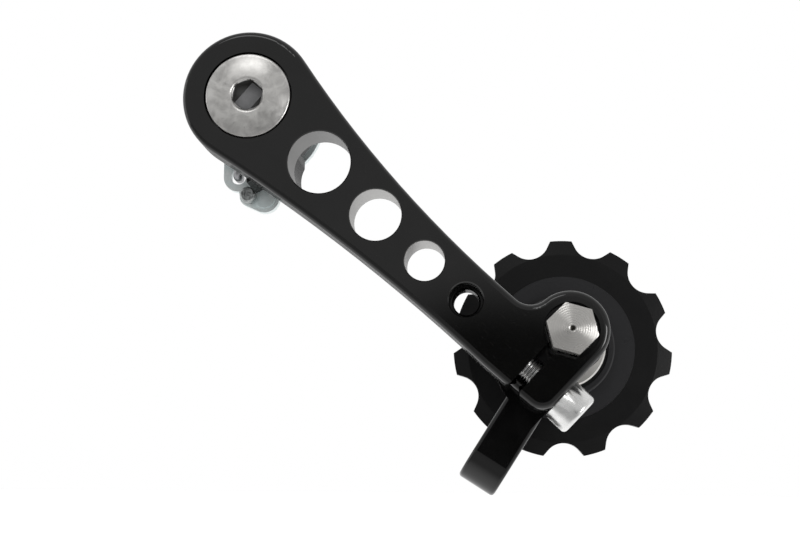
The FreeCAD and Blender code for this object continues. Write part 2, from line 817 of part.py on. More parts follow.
def make_stop_plate():
    body = new_body("stop_plate", depth=D.plate_back)
    disc = new_sketch(body, "plate_disc")
    add_circle(disc, D.plate_radius)
    pad(body, disc, D.plate_thickness)
    lobe = new_sketch(body, "spring_lobe")
    add_circle(lobe, D.spring_lobe_radius, D.spring_lobe_x, D.spring_lobe_y)
    pad(body, lobe, D.plate_thickness)
    small = D.arm_pin_radius + D.arm_pin_lobe_margin
    pin_lobe = new_sketch(body, "arm_pin_lobe")
    add_circle(pin_lobe, small, D.arm_pin_x, D.arm_pin_y)
    pad(body, pin_lobe, D.plate_thickness)
    pad_lobe = new_sketch(body, "pad_lobe")
    add_circle(pad_lobe, D.pad_lobe_radius, D.pad_lobe_x, D.pad_lobe_y)
    pad(body, pad_lobe, D.plate_thickness)
    # web that joins the lobes to the disc, with its lower side along the tangent of pin lobe and pad lobe
    run_x = D.pad_lobe_x - D.arm_pin_x
    run_y = D.pad_lobe_y - D.arm_pin_y
    run = derive("lobe_spacing", root(run_x * run_x + run_y * run_y))
    lean = (D.pad_lobe_radius - small) / run
    level = root(1 - lean * lean)
    normal_x = derive("web_normal_x", (run_y * level - run_x * lean) / run)
    normal_y = derive("web_normal_y", -(run_x * level + run_y * lean) / run)
    spring_side = D.spring_lobe_x - D.spring_lobe_radius
    web = new_sketch(body, "pin_web")
    add_outline(web, [
        (D.arm_pin_x + normal_x * small, D.arm_pin_y + normal_y * small),
        (D.pad_lobe_x + normal_x * D.pad_lobe_radius, D.pad_lobe_y + normal_y * D.pad_lobe_radius),
        (D.pad_lobe_x + D.pad_lobe_radius, D.pad_lobe_y),
        (D.pad_lobe_x + D.pad_lobe_radius, -D.journal_radius),
        (spring_side, -D.journal_radius),
        (spring_side, D.spring_lobe_y),
        (D.spring_lobe_x, D.spring_lobe_y - D.spring_lobe_radius / 2),
        (D.arm_pin_x - small, D.arm_pin_y),
    ])
    pad(body, web, D.plate_thickness)
    raised = new_sketch(body, "raised_pad", offset=D.plate_thickness)
    add_circle(raised, D.pad_radius, D.pad_lobe_x, D.pad_lobe_y)
    pad(body, raised, D.pad_height)
    top = D.plate_thickness + D.pad_height
    holes = new_sketch(body, "plate_holes", offset=top)
    add_circle(holes, bush_bore)
    add_circle(holes, D.spring_lobe_hole_radius, D.spring_lobe_x, D.spring_lobe_y)
    add_circle(holes, D.arm_pin_radius + D.fit_clearance, D.arm_pin_x, D.arm_pin_y)
    pocket(body, holes, top)
    blind = new_sketch(body, "hanger_pin_hole")
    add_circle(blind, D.hanger_pin_radius + D.fit_clearance, D.hanger_pin_x, D.pad_lobe_y)
    pocket(body, blind, D.hanger_pin_depth + D.fit_clearance, outward=True)
    return body


def make_pin(label, x, y, radius, back, front):
    """A straight pin with both ends chamfered."""
    body = new_body(label, x, y)
    turn_about_z(body, label + "_profile", [
        (0, back),
        (radius - D.pin_chamfer, back),
        (radius, back + D.pin_chamfer),
        (radius, front - D.pin_chamfer),
        (radius - D.pin_chamfer, front),
        (0, front),
    ])
    return body


def make_stop_pins():
    make_pin(
        "arm_stop_pin", D.arm_pin_x, D.arm_pin_y, D.arm_pin_radius,
        D.plate_back, plate_front + D.arm_pin_height,
    )
    make_pin(
        "hanger_pin", D.hanger_pin_x, D.pad_lobe_y, D.hanger_pin_radius,
        D.plate_back + D.hanger_pin_depth - D.hanger_pin_length, D.plate_back + D.hanger_pin_depth,
    )


def bend_wire(start, along, after, radius):
    """Quarter-round or other arc that leaves start in one direction and ends in another."""
    axis = along.cross(after).normalize()
    centre = start + axis.cross(along) * radius
    spoke = start - centre
    turn = math.acos(along.dot(after))

    def swing(angle):
        return centre + spoke * math.cos(angle) + axis.cross(spoke) * math.sin(angle)

    return Part.Arc(start, swing(turn / 2), swing(turn)).toShape(), swing(turn)


def make_torsion_spring():
    """Close-wound spring: its rear end hooks into the stop plate, its front end into the arm.

    The coil is a row of half rings, each tilted so that the next one carries on from its end."""
    outward = FreeCAD.Vector(1, 0, 0)
    sideways = FreeCAD.Vector(0, 1, 0)
    up = FreeCAD.Vector(0, 0, 1)
    radius = spring_radius.value
    bend = spring_bend.value
    rise = D.spring_pitch.value / 2
    first = outward * radius + up * D.spring_rear.value
    coil = []
    point = first
    side = 1
    for _ in range(int(D.spring_half_turns.value)):
        centre = up * (point.z + rise / 2)
        crest = centre + sideways * side * (point - centre).Length
        following = outward * -point.x + up * (point.z + rise)
        coil.append(Part.Arc(point, crest, following).toShape())
        point = following
        side = -side
    entry, entry_end = bend_wire(first, -sideways, outward, bend)
    hook_x = math.sqrt(spring_hook_reach().value ** 2 - bend ** 2)
    hook_start = FreeCAD.Vector(hook_x - bend, entry_end.y, first.z)
    hook, hook_end = bend_wire(hook_start, outward, -up, bend)
    tail = FreeCAD.Vector(hook_end.x, hook_end.y, D.plate_back.value)
    exit_bend, exit_end = bend_wire(point, sideways * side, up, bend)
    tip_depth = D.arm_back + D.spring_hole_depth - D.spring_hole_clearance
    tip = FreeCAD.Vector(exit_end.x, exit_end.y, tip_depth.value)
    route = [Part.makeLine(tail, hook_end), hook, Part.makeLine(hook_start, entry_end), entry]
    route += coil + [exit_bend, Part.makeLine(exit_end, tip)]
    section = Part.Face(Part.Wire(Part.makeCircle(spring_wire.value, tail, up)))
    spring = doc.addObject("Part::Feature", "torsion_spring")
    spring.Label = "torsion_spring"
    spring.Shape = Part.Wire(route).makePipe(section)
    turn = spring_rear_angle() - spring_hook_lead()
    spring.Placement = FreeCAD.Placement(FreeCAD.Vector(), FreeCAD.Rotation(0, turn.value, 90))
    return spring


def make_axle_sleeve():
    body = axle_body("axle_sleeve")
    edge = D.sleeve_chamfer
    turn_about_z(body, "sleeve_profile", [
        (axle_bore, bearing_front),
        (D.nose_radius, bearing_front),
        (D.nose_radius, flange_back),
        (D.flange_radius - edge, flange_back),
        (D.flange_radius, flange_back + edge),
        (D.flange_radius, D.flange_front - edge),
        (D.flange_radius - edge, D.flange_front),
        (D.sleeve_radius, D.flange_front),
        (D.sleeve_radius, D.sleeve_front - edge),
        (D.sleeve_radius - edge, D.sleeve_front),
        (axle_bore, D.sleeve_front),
    ])
    return body


def make_axle_bolt():
    body = axle_body("axle_bolt")
    corner = derive("hex_corner_radius", D.hex_flats / root(as_size(3)))
    top = derive("hex_top", D.sleeve_front + D.hex_height)
    head = new_sketch(body, "bolt_hex", offset=D.sleeve_front)
    add_polygon(head, D.hex_flats, D.hex_turn)
    pad(body, head, D.hex_height)
    outside = corner + D.hex_face_rise
    # the turned face rises a little to the middle, where the lathe left a dimple
    turn_about_z(body, "hex_face", [
        (0, top),
        (outside, top - D.hex_face_rise),
        (outside, top + D.hex_face_rise),
        (0, top + D.hex_face_rise),
    ], cut=True)
    turn_about_z(body, "hex_dimple", [
        (0, top - D.hex_dimple_depth),
        (D.hex_dimple_radius, top),
        (0, top),
    ], cut=True)
    shank = new_sketch(body, "bolt_shank", offset=D.sleeve_front)
    add_circle(shank, D.axle_screw_radius)
    pad(body, shank, D.sleeve_front - nut_back + D.axle_screw_spare, backward=True)
    end = (nut_back - D.axle_screw_spare).value
    dress(body, "Chamfer", "bolt_end", D.sleeve_chamfer, lambda edge: is_level(edge, end))
    return body


def make_rear_cap():
    body = axle_body("rear_cap")
    nose_back = bearing_back - D.cap_nose
    edge = D.sleeve_chamfer
    turn_about_z(body, "cap_profile", [
        (axle_bore, cap_back),
        (D.cap_radius - edge, cap_back),
        (D.cap_radius, cap_back + edge),
        (D.cap_radius, nose_back),
        (D.nose_radius, nose_back),
        (D.nose_radius, bearing_back),
        (axle_bore, bearing_back),
    ])
    return body


def make_axle_nut():
    body = axle_body("axle_nut")
    outline = new_sketch(body, "nut_hex", offset=nut_back)
    add_polygon(outline, D.hex_flats, D.hex_turn)
    add_circle(outline, axle_bore)
    pad(body, outline, D.nut_height)
    corner = D.hex_flats / root(as_size(3))
    flat = D.hex_flats / 2
    for name, face, inward in (("nut_rear", nut_back, 1), ("nut_front", cap_back, -1)):
        turn_about_z(body, name, [
            (flat, face),
            (corner + D.nut_chamfer, face),
            (corner + D.nut_chamfer, face + inward * D.nut_chamfer_height),
        ], cut=True)
    return body


def make_pinch_screw():
    """Cap screw along the arm, its head outside the outer jaw."""
    body = doc.addObject("PartDesign::Body", "pinch_screw")
    body.Label = "pinch_screw"
    seat = derive("pinch_seat", jaw_side + D.fit_clearance)
    lying = FreeCAD.Rotation(0, D.arm_droop.value, 90)
    outward = FreeCAD.Rotation(FreeCAD.Vector(0, 1, 0), 90)
    body.Placement = FreeCAD.Placement(FreeCAD.Vector(), lying.multiply(outward))
    bind_place(body, *arm_to_picture(seat, D.pinch_across), D.pinch_depth)
    top = D.pinch_head_height
    tip = D.pinch_tip_chamfer
    turn_about_z(body, "pinch_profile", [
        (0, -D.pinch_length),
        (D.pinch_radius - tip, -D.pinch_length),
        (D.pinch_radius, -D.pinch_length + tip),
        (D.pinch_radius, 0),
        (D.pinch_head_radius, 0),
        (D.pinch_head_radius, top - D.pinch_head_round, D.pinch_head_round),
        (D.pinch_head_radius - D.pinch_head_round, top),
        (0, top),
    ])
    socket = new_sketch(body, "pinch_socket", offset=top)
    add_polygon(socket, D.pinch_socket_flats)
    pocket(body, socket, D.pinch_socket_depth)
    return body


def make_chain_guide():
    """Bent finger, drawn with x along it from the axle."""
    body = axle_body("chain_guide", turn=D.guide_angle)
    eye_bore = D.sleeve_radius + D.slide_clearance * 2
    lean = D.guide_angle - D.arm_droop - 90
    # the ear's screw, about the axle, in the finger's own directions
    ear_along = D.guide_ear_along - D.axle_along
    ear_across = D.guide_ear_across - D.axle_across
    ear_x = derive("ear_x", -(ear_across * cosine(lean)) - ear_along * sine(lean))
    ear_y = derive("ear_y", ear_along * cosine(lean) - ear_across * sine(lean))
    eye = new_sketch(body, "guide_eye", offset=guide_back)
    add_circle(eye, D.guide_eye_radius)
    pad(body, eye, D.guide_thickness)
    ear = new_sketch(body, "guide_ear", offset=guide_back)
    add_circle(ear, D.guide_ear_radius, ear_x, ear_y)
    pad(body, ear, D.guide_thickness)
    web = new_sketch(body, "guide_web", offset=guide_back)
    add_outline(web, [
        (0, -D.guide_eye_radius),
        (ear_x, ear_y - D.guide_ear_radius),
        (ear_x + D.guide_ear_radius, ear_y),
        (D.guide_web_along, -D.guide_web_side),
        (D.guide_web_along, D.guide_web_side),
        (0, D.guide_eye_radius),
    ])
    pad(body, web, D.guide_thickness)

    side = new_sketch(body, "guide_side", "XZ_Plane", -D.guide_half_width)
    bend = D.guide_bend_radius
    inner_bend = D.guide_bend_radius - D.guide_thickness
    inside = D.guide_reach - D.guide_thickness
    add_outline(side, [
        (D.guide_eye_radius, guide_back),
        (D.guide_reach - bend, guide_back, -inner_bend),
        (inside, D.arm_back - bend),
        (inside, D.guide_end),
        (D.guide_reach, D.guide_end),
        (D.guide_reach, D.arm_back - bend, bend),
        (D.guide_reach - bend, D.arm_back),
        (D.guide_eye_radius, D.arm_back),
    ])
    pad(body, side, D.guide_half_width * 2)
    return finish_guide(body, ear_x, ear_y, eye_bore, lean)


def finish_guide(body, ear_x, ear_y, eye_bore, lean):
    """Rounded edges, the tab that stands in the slit, and the holes."""
    end_x = D.guide_web_along.value

    def on_finger(edge):
        box = edge.BoundBox
        beside = abs(abs(box.Center.y) - D.guide_half_width.value) < 0.01 and box.YLength < 0.01
        return beside and box.XMax > end_x + D.guide_edge_round.value

    dress(body, "Fillet", "guide_edges", D.guide_edge_round, on_finger)
    tab = new_sketch(body, "guide_tab", offset=D.arm_back)
    corners = []
    half = D.tab_width / 2
    middle = (slit_left + slit_right) / 2 - D.axle_along
    for along, across in (
        (middle - half, -D.tab_inner),
        (middle - half, -D.tab_outer),
        (middle + half, -D.tab_outer),
        (middle + half, -D.tab_inner),
    ):
        corners.append((
            -(across * cosine(lean)) - along * sine(lean),
            along * cosine(lean) - across * sine(lean),
        ))
    add_outline(tab, corners)
    pad(body, tab, D.tab_height)
    tab_end = (D.arm_back + D.tab_height).value
    dress(body, "Fillet", "tab_end", D.tab_round, lambda edge: is_level(edge, tab_end))
    holes = new_sketch(body, "guide_holes", offset=D.arm_back)
    add_circle(holes, eye_bore)
    add_circle(holes, D.guide_screw_radius + D.slide_clearance, ear_x, ear_y)
    pocket(body, holes, D.guide_thickness)
    return body


def make_guide_screw():
    """Button screw from behind, through the guide's ear into the arm."""
    body = arm_body("guide_screw")
    bind_place(body, *arm_to_picture(D.guide_ear_along, D.guide_ear_across), 0)
    head_back = guide_back - D.guide_screw_head_height
    edge = D.pin_chamfer
    turn_about_z(body, "guide_screw_profile", [
        (0, head_back),
        (D.guide_screw_head_flat, head_back, D.guide_screw_head_dome),
        (D.guide_screw_head_radius, guide_back - edge),
        (D.guide_screw_head_radius, guide_back),
        (D.guide_screw_radius, guide_back),
        (D.guide_screw_radius, D.arm_back + D.guide_screw_engaged - edge),
        (D.guide_screw_radius - edge, D.arm_back + D.guide_screw_engaged),
        (0, D.arm_back + D.guide_screw_engaged),
    ])
    socket = new_sketch(body, "guide_screw_socket", offset=head_back)
    add_polygon(socket, D.guide_screw_socket_flats)
    pocket(body, socket, D.guide_screw_socket_depth, outward=True)
    return body


def make_pulley_wheel():
    """Toothed wheel of one moulding, symmetrical about its middle plane."""
    body = new_body("pulley_wheel", axle_x, axle_y, D.wheel_middle, turn=-D.tooth_phase)
    lip = D.hub_edge_round
    half = [
        (D.bearing_outer_radius, D.bearing_half_width),
        (D.hub_lip_radius, D.bearing_half_width),
        (D.hub_lip_radius, D.hub_half_width),
        (D.hub_radius - lip, D.hub_half_width),
        (D.hub_radius, D.hub_half_width - lip),
        (D.hub_radius, D.disc_half_width),
        (D.disc_radius - D.disc_slope, D.disc_half_width),
        (D.disc_radius, D.tooth_half_width),
        (D.root_radius, D.tooth_half_width),
        (D.tip_radius, D.tooth_tip_half_width),
    ]
    mirrored = [(radius, -depth) for radius, depth in reversed(half)]
    turn_about_z(body, "wheel_profile", half + mirrored)
    pitch_angle = 360 / D.tooth_count
    side = derive("valley_corner_angle", pitch_angle / 2 - D.tooth_half_angle)
    corner_u = derive("valley_corner_u", D.tip_radius * cosine(side))
    corner_v = derive("valley_corner_v", D.tip_radius * sine(side))
    centre_u = derive("valley_centre_u", D.root_radius + D.valley_radius)
    # straight flank from the tooth's corner, touching the valley's arc
    gap_u = corner_u - centre_u
    span = derive("valley_span", root(gap_u * gap_u + corner_v * corner_v))
    lean = D.valley_radius / span
    off = derive("valley_off", root(1 - lean * lean))
    touch_u = derive(
        "valley_touch_u",
        centre_u + D.valley_radius * (gap_u * lean - corner_v * off) / span,
    )
    touch_v = derive(
        "valley_touch_v",
        D.valley_radius * (corner_v * lean + gap_u * off) / span,
    )
    out_u = D.tip_radius + D.tooth_half_width
    # the sketch's x points at the first tooth's right-hand valley
    valley = new_sketch(body, "valley", offset=D.hub_half_width)
    middle = 90 - pitch_angle / 2

    def rotate(u, v):
        return (u * cosine(middle) - v * sine(middle), u * sine(middle) + v * cosine(middle))

    low = rotate(touch_u, -touch_v)
    add_outline(valley, [
        (low[0], low[1], -D.valley_radius),
        rotate(touch_u, touch_v),
        rotate(corner_u, corner_v),
        rotate(out_u, corner_v),
        rotate(out_u, -corner_v),
        rotate(corner_u, -corner_v),
    ])
    cut = pocket(body, valley, D.hub_half_width * 2)
    repeat_round(body, cut, D.tooth_count)
    return body


def bearing_body(label):
    return new_body(label, axle_x, axle_y, D.wheel_middle)


def make_inner_race():
    body = bearing_body("bearing_inner_race")
    half = D.bearing_half_width
    bore = D.bearing_bore_radius + D.axle_screw_clearance
    edge = D.pin_chamfer
    track = D.ball_radius + D.ball_clearance
    drop = D.ball_circle_radius - D.inner_race_radius
    rim = derive("inner_track_rim", root(track * track - drop * drop))
    turn_about_z(body, "inner_race_profile", [
        (bore, -half),
        (D.inner_race_radius - edge, -half),
        (D.inner_race_radius, edge - half),
        (D.inner_race_radius, -rim, -track),
        (D.inner_race_radius, rim),
        (D.inner_race_radius, half - edge),
        (D.inner_race_radius - edge, half),
        (bore, half),
    ])
    return body


def make_outer_race():
    body = bearing_body("bearing_outer_race")
    half = D.bearing_half_width
    outer = D.bearing_outer_radius - D.fit_clearance
    edge = D.pin_chamfer
    track = D.ball_radius + D.ball_clearance
    rise = D.outer_race_radius - D.ball_circle_radius
    rim = derive("outer_track_rim", root(track * track - rise * rise))
    seat = half - D.shield_inset - D.shield_thickness
    wide = derive("shield_seat_radius", D.outer_race_radius + D.shield_seat)
    turn_about_z(body, "outer_race_profile", [
        (outer - edge, -half),
        (outer, edge - half),
        (outer, half - edge),
        (outer - edge, half),
        (wide, half),
        (wide, seat),
        (D.outer_race_radius, seat),
        (D.outer_race_radius, rim, -track),
        (D.outer_race_radius, -rim),
        (D.outer_race_radius, -seat),
        (wide, -seat),
        (wide, -half),
    ])
    return body


def make_balls():
    """One steel ball, repeated round the pitch circle as a group of separate solids."""
    balls = doc.addObject("Part::Feature", "bearing_balls")
    balls.Label = "bearing_balls"
    count = int(D.ball_count.value)
    shapes = []
    for number in range(count):
        angle = math.radians(360.0 * number / count)
        centre = FreeCAD.Vector(math.cos(angle), math.sin(angle), 0) * D.ball_circle_radius.value
        shapes.append(Part.makeSphere(D.ball_radius.value, centre))
    balls.Shape = Part.makeCompound(shapes)
    at = FreeCAD.Vector(axle_x.value, -D.wheel_middle.value, axle_y.value)
    balls.Placement = FreeCAD.Placement(at, FreeCAD.Rotation(0, 0, 90))
    return balls


def make_cage():
    """Ring with a round pocket for each ball."""
    body = bearing_body("bearing_cage")
    half = D.cage_half_width
    inner = D.ball_circle_radius - D.cage_wall / 2
    outer = D.ball_circle_radius + D.cage_wall / 2
    turn_about_z(body, "cage_profile", [(inner, -half), (outer, -half), (outer, half), (inner, half)])
    window = new_sketch(body, "cage_pocket", "YZ_Plane", D.ball_circle_radius + D.cage_wall)
    add_circle(window, D.ball_radius + D.ball_clearance)
    cut = pocket(body, window, D.cage_wall * 2)
    pattern = body.newObject("PartDesign::PolarPattern", "cage_pockets")
    pattern.Originals = [cut]
    pattern.Axis = (origin_feature(body, "Z_Axis"), [""])
    pattern.Angle = 360.0
    pattern.Occurrences = int(D.ball_count.value)
    pattern.setExpression("Occurrences", D.ball_count.formula)
    body.Tip = pattern
    doc.recompute()
    return body


def make_shields():
    half = D.bearing_half_width - D.shield_inset
    inner = D.inner_race_radius + D.shield_gap
    outer = D.outer_race_radius + D.shield_seat - D.fit_clearance
    for label, near, far in (
        ("bearing_shield_front", half - D.shield_thickness, half),
        ("bearing_shield_rear", -half, -half + D.shield_thickness),
    ):
        body = bearing_body(label)
        turn_about_z(body, label + "_profile", [(inner, near), (outer, near), (outer, far), (inner, far)])


def make_all():
    # each new cell makes every finished piece recompute, so the pieces with most faces come last
    make_mounting_bolt()
    make_bushes()
    make_retaining_ring()
    make_stop_pins()
    make_torsion_spring()
    make_pinch_screw()
    make_guide_screw()
    make_axle_sleeve()
    make_axle_bolt()
    make_rear_cap()
    make_axle_nut()
    make_inner_race()
    make_outer_race()
    make_balls()
    make_cage()
    make_shields()
    make_stop_plate()
    make_pulley_wheel()
    make_chain_guide()
    make_arm()


def check_and_export():
    doc.recompute()
    for item in doc.Objects:
        if "Invalid" in item.State or "Error" in item.State:
            raise RuntimeError(f"{item.Name} failed: {item.State}")
    pieces = [item for item in doc.Objects if item.TypeId in ("PartDesign::Body", "Part::Feature")]
    for piece in pieces:
        if piece.Shape.isNull() or not piece.Shape.isValid():
            raise RuntimeError(f"{piece.Label} has no valid shape")
    os.makedirs("parts", exist_ok=True)
    for piece in pieces:
        piece.Shape.exportStep(f"parts/{piece.Label}.step")
        print(piece.Label, len(piece.Shape.Solids), round(piece.Shape.Volume, 2))


make_all()
check_and_export()
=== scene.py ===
"""Finishes, cut threads and studio for a bicycle chain tensioner.

The solids are drawn elsewhere. Here each of them gets its finish. The two screws whose threads can be
seen get them cut, the fourth hole gets its inner step, and the spring is copied as a new piece. The
part hangs before a white backdrop over a pale floor.
"""

import json
import math
from collections import namedtuple

import bmesh
import bpy
from bpy.props import FloatProperty, FloatVectorProperty, PointerProperty
from mathutils import Matrix, Vector

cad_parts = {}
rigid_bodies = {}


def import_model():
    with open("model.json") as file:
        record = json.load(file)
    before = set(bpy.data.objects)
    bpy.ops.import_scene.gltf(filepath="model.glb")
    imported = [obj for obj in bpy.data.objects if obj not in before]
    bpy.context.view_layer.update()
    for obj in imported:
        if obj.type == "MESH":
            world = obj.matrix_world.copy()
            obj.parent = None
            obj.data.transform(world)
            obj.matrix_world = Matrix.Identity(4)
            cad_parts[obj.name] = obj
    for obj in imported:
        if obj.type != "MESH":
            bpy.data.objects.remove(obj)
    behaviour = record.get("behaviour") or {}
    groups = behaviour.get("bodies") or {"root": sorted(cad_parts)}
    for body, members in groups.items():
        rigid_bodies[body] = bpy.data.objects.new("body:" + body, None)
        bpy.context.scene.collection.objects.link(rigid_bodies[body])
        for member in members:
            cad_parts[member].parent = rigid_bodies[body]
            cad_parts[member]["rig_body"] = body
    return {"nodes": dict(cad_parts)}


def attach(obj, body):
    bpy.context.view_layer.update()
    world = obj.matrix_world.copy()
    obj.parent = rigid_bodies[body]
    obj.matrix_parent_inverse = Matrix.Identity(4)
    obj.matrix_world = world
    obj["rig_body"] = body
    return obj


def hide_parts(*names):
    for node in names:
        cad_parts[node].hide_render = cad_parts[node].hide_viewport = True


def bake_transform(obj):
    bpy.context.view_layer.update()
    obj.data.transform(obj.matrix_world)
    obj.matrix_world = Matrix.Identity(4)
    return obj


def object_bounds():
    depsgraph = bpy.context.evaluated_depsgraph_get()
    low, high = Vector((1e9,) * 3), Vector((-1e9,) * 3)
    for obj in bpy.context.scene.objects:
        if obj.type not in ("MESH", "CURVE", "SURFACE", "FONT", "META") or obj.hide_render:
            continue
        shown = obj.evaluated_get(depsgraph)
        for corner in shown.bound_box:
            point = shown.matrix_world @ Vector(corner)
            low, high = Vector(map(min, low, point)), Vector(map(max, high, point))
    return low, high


bl_info = {
    "name": "Chain tensioner",
    "version": (1, 0, 0),
    "blender": (4, 5, 0),
    "location": "3D View > Sidebar > Tensioner",
    "description": "Dresses a sprung chain tensioner and sets up its studio",
    "category": "Object",
}

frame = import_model()
CAD_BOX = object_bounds()

# ------------------------------------------------------------------- places on the solids, in metres

# the viewer stands on the -Y side; the arm's line of holes falls away from the pivot to the right
ARM_DROOP = math.radians(43.2)
ALONG = Vector((math.cos(ARM_DROOP), 0.0, -math.sin(ARM_DROOP)))
ACROSS = Vector((math.sin(ARM_DROOP), 0.0, math.cos(ARM_DROOP)))
PIVOT = Vector((0.0, 0.0, 0.0))
AXLE = ALONG * 0.071 + ACROSS * 0.00865


def on_arm(along, across, depth):
    """A point of the arm: along and across its line of holes, and out towards the viewer."""
    return ALONG * along + ACROSS * across + Vector((0.0, -depth, 0.0))


# the bare lightening holes: place along the arm, and radius
HOLES = ((0.018, 0.00565), (0.032, 0.00462), (0.044, 0.00356))
# where the holes' walls end, along Y
WALL_BACK = -0.0141
# the fourth hole: place along the arm, radius, and the narrower bore of the step in it
FOURTH_HOLE, FOURTH_RADIUS = 0.054, 0.00302
STEP_BORE, STEP_LENGTH, STEP_CHAMFER = 0.0023, 0.0046, 0.00025
# the part of the arm by the clamp that hands and tools touch: place along the arm, radius, soft edge
HANDLED, HANDLED_RADIUS, HANDLED_EDGE = 0.0645, 0.011, 0.003

# the mounting bolt's hex socket: its mouth along Y, and a radius that takes in its corners
SOCKET_MOUTH, SOCKET_REACH = -0.02328, 0.00302
# radius of the axle bolt's hex head at its corners
HEX_REACH = 0.0046
# radius of the pulley's inner disc, which is painted paler as painted light on its face
DISC_RADIUS = 0.0142

# each cut thread: where it starts, its radius and length, and the steps in one turn
BOLT_SEAT, BOLT_RADIUS, BOLT_LENGTH, BOLT_STEPS = PIVOT, 0.005, 0.009, 72
CLAMP_SEAT, CLAMP_RADIUS, CLAMP_LENGTH, CLAMP_STEPS = on_arm(0.07771, -0.001, 0.0185), 0.0025, 0.018, 40

# a hair's breadth, over which one finish gives way to another, and by which the step laps its hole
HAIR = 0.00002
# closeness at which points of a mesh are the same point, in a copy and in new work
SAME_IN_COPY, SAME_POINT = 1e-6, 1e-7


# ---------------------------------------------------------------- sizes and colours a user may change

def colour(name, description, default):
    return FloatVectorProperty(
        name=name, description=description, subtype="COLOR", size=3, min=0.0, max=1.0, default=default
    )


def distance(name, description, default):
    return FloatProperty(
        name=name, description=description, subtype="DISTANCE", unit="LENGTH", min=0.0, precision=5,
        default=default,
    )


def level(name, description, default):
    return FloatProperty(name=name, description=description, min=0.0, default=default)


class TensionerColours(bpy.types.PropertyGroup):
    arm_coat: colour("Arm coat", "Black coat on the arm", (0.0018, 0.0018, 0.0017))
    bare_bore: colour("Bare bore", "Aluminium in the drilled holes", (0.37, 0.365, 0.355))
    guide_coat: colour("Guide coat", "Glossy black coat on the chain guide", (0.0007, 0.0007, 0.0007))
    nylon: colour("Pulley nylon", "Moulded nylon of the toothed pulley", (0.0014, 0.0014, 0.0015))
    polished: colour("Polished steel", "Mounting bolt", (0.66, 0.65, 0.63))
    turned: colour("Turned steel", "Sleeve, cap and bolt of the axle", (0.64, 0.626, 0.602))
    plated: colour("Bright plating", "Cap screw of the clamp", (0.82, 0.82, 0.81))
    zinc: colour("Zinc", "Stop plate and axle nut", (0.88, 0.92, 0.91))
    zinc_tint: colour("Zinc tint", "Cool cast in the zinc", (0.78, 0.87, 0.87))
    spring: colour("Spring wire", "Drawn spring wire and ring", (0.30, 0.30, 0.31))
    oxide: colour("Black oxide", "Guide screw", (0.045, 0.045, 0.048))
    bush: colour("Bush plastic", "Plain bearings of the pivot", (0.06, 0.06, 0.065))
    floor: colour("Floor", "Studio floor", (0.86, 0.86, 0.86))


class TensionerSizes(bpy.types.PropertyGroup):
    hanger_pitch: distance("Hanger thread pitch", "From one turn of the hanger thread to the next", 0.001)
    hanger_depth: distance("Hanger thread depth", "Depth of the hanger thread", 0.00058)
    hanger_chamfer: distance("Hanger thread chamfer", "Chamfer at the end of the hanger thread", 0.0008)
    clamp_pitch: distance("Clamp thread pitch", "From one turn of the clamp screw to the next", 0.0005)
    clamp_depth: distance("Clamp thread depth", "Depth of the clamp screw's thread", 0.00031)
    clamp_chamfer: distance("Clamp thread chamfer", "Chamfer at the end of the clamp screw's thread", 0.0004)


class TensionerStudio(bpy.types.PropertyGroup):
    front: level("Front", "Light from the viewer's side, where the backdrop's is 1", 0.58)
    back: level("Back", "Light from behind the part, where the backdrop's is 1", 0.86)
    lens: level("Lens", "Light from the dark camera itself", 0.01)
    key: level("Key lamp", "Power of the lamp above the viewer, in watts", 0.4)
    left: level("Left lamp", "Power of the lamp on the left, in watts", 0.4)
    right: level("Right lamp", "Power of the lamp on the right, in watts", 0.95)
    floor_drop: distance("Floor drop", "From the part's lowest point down to the floor", 0.085)


def colours():
    return bpy.context.scene.tensioner_colours


def sizes():
    return bpy.context.scene.tensioner_sizes


def levels():
    return bpy.context.scene.tensioner_studio


# ------------------------------------------------------------------------------------ shader helpers

# the Mix node's sockets for its factor, its two ends and its result
MIX_COLOURS, MIXED_COLOUR = (0, 6, 7), 2
MIX_NUMBERS, MIXED_NUMBER = (0, 2, 3), 0
# the direction of the pivot's and the axle's axes, and what lies square to it
AXIS = (0.0, 1.0, 0.0)
OFF_AXIS = (1.0, 0.0, 1.0)


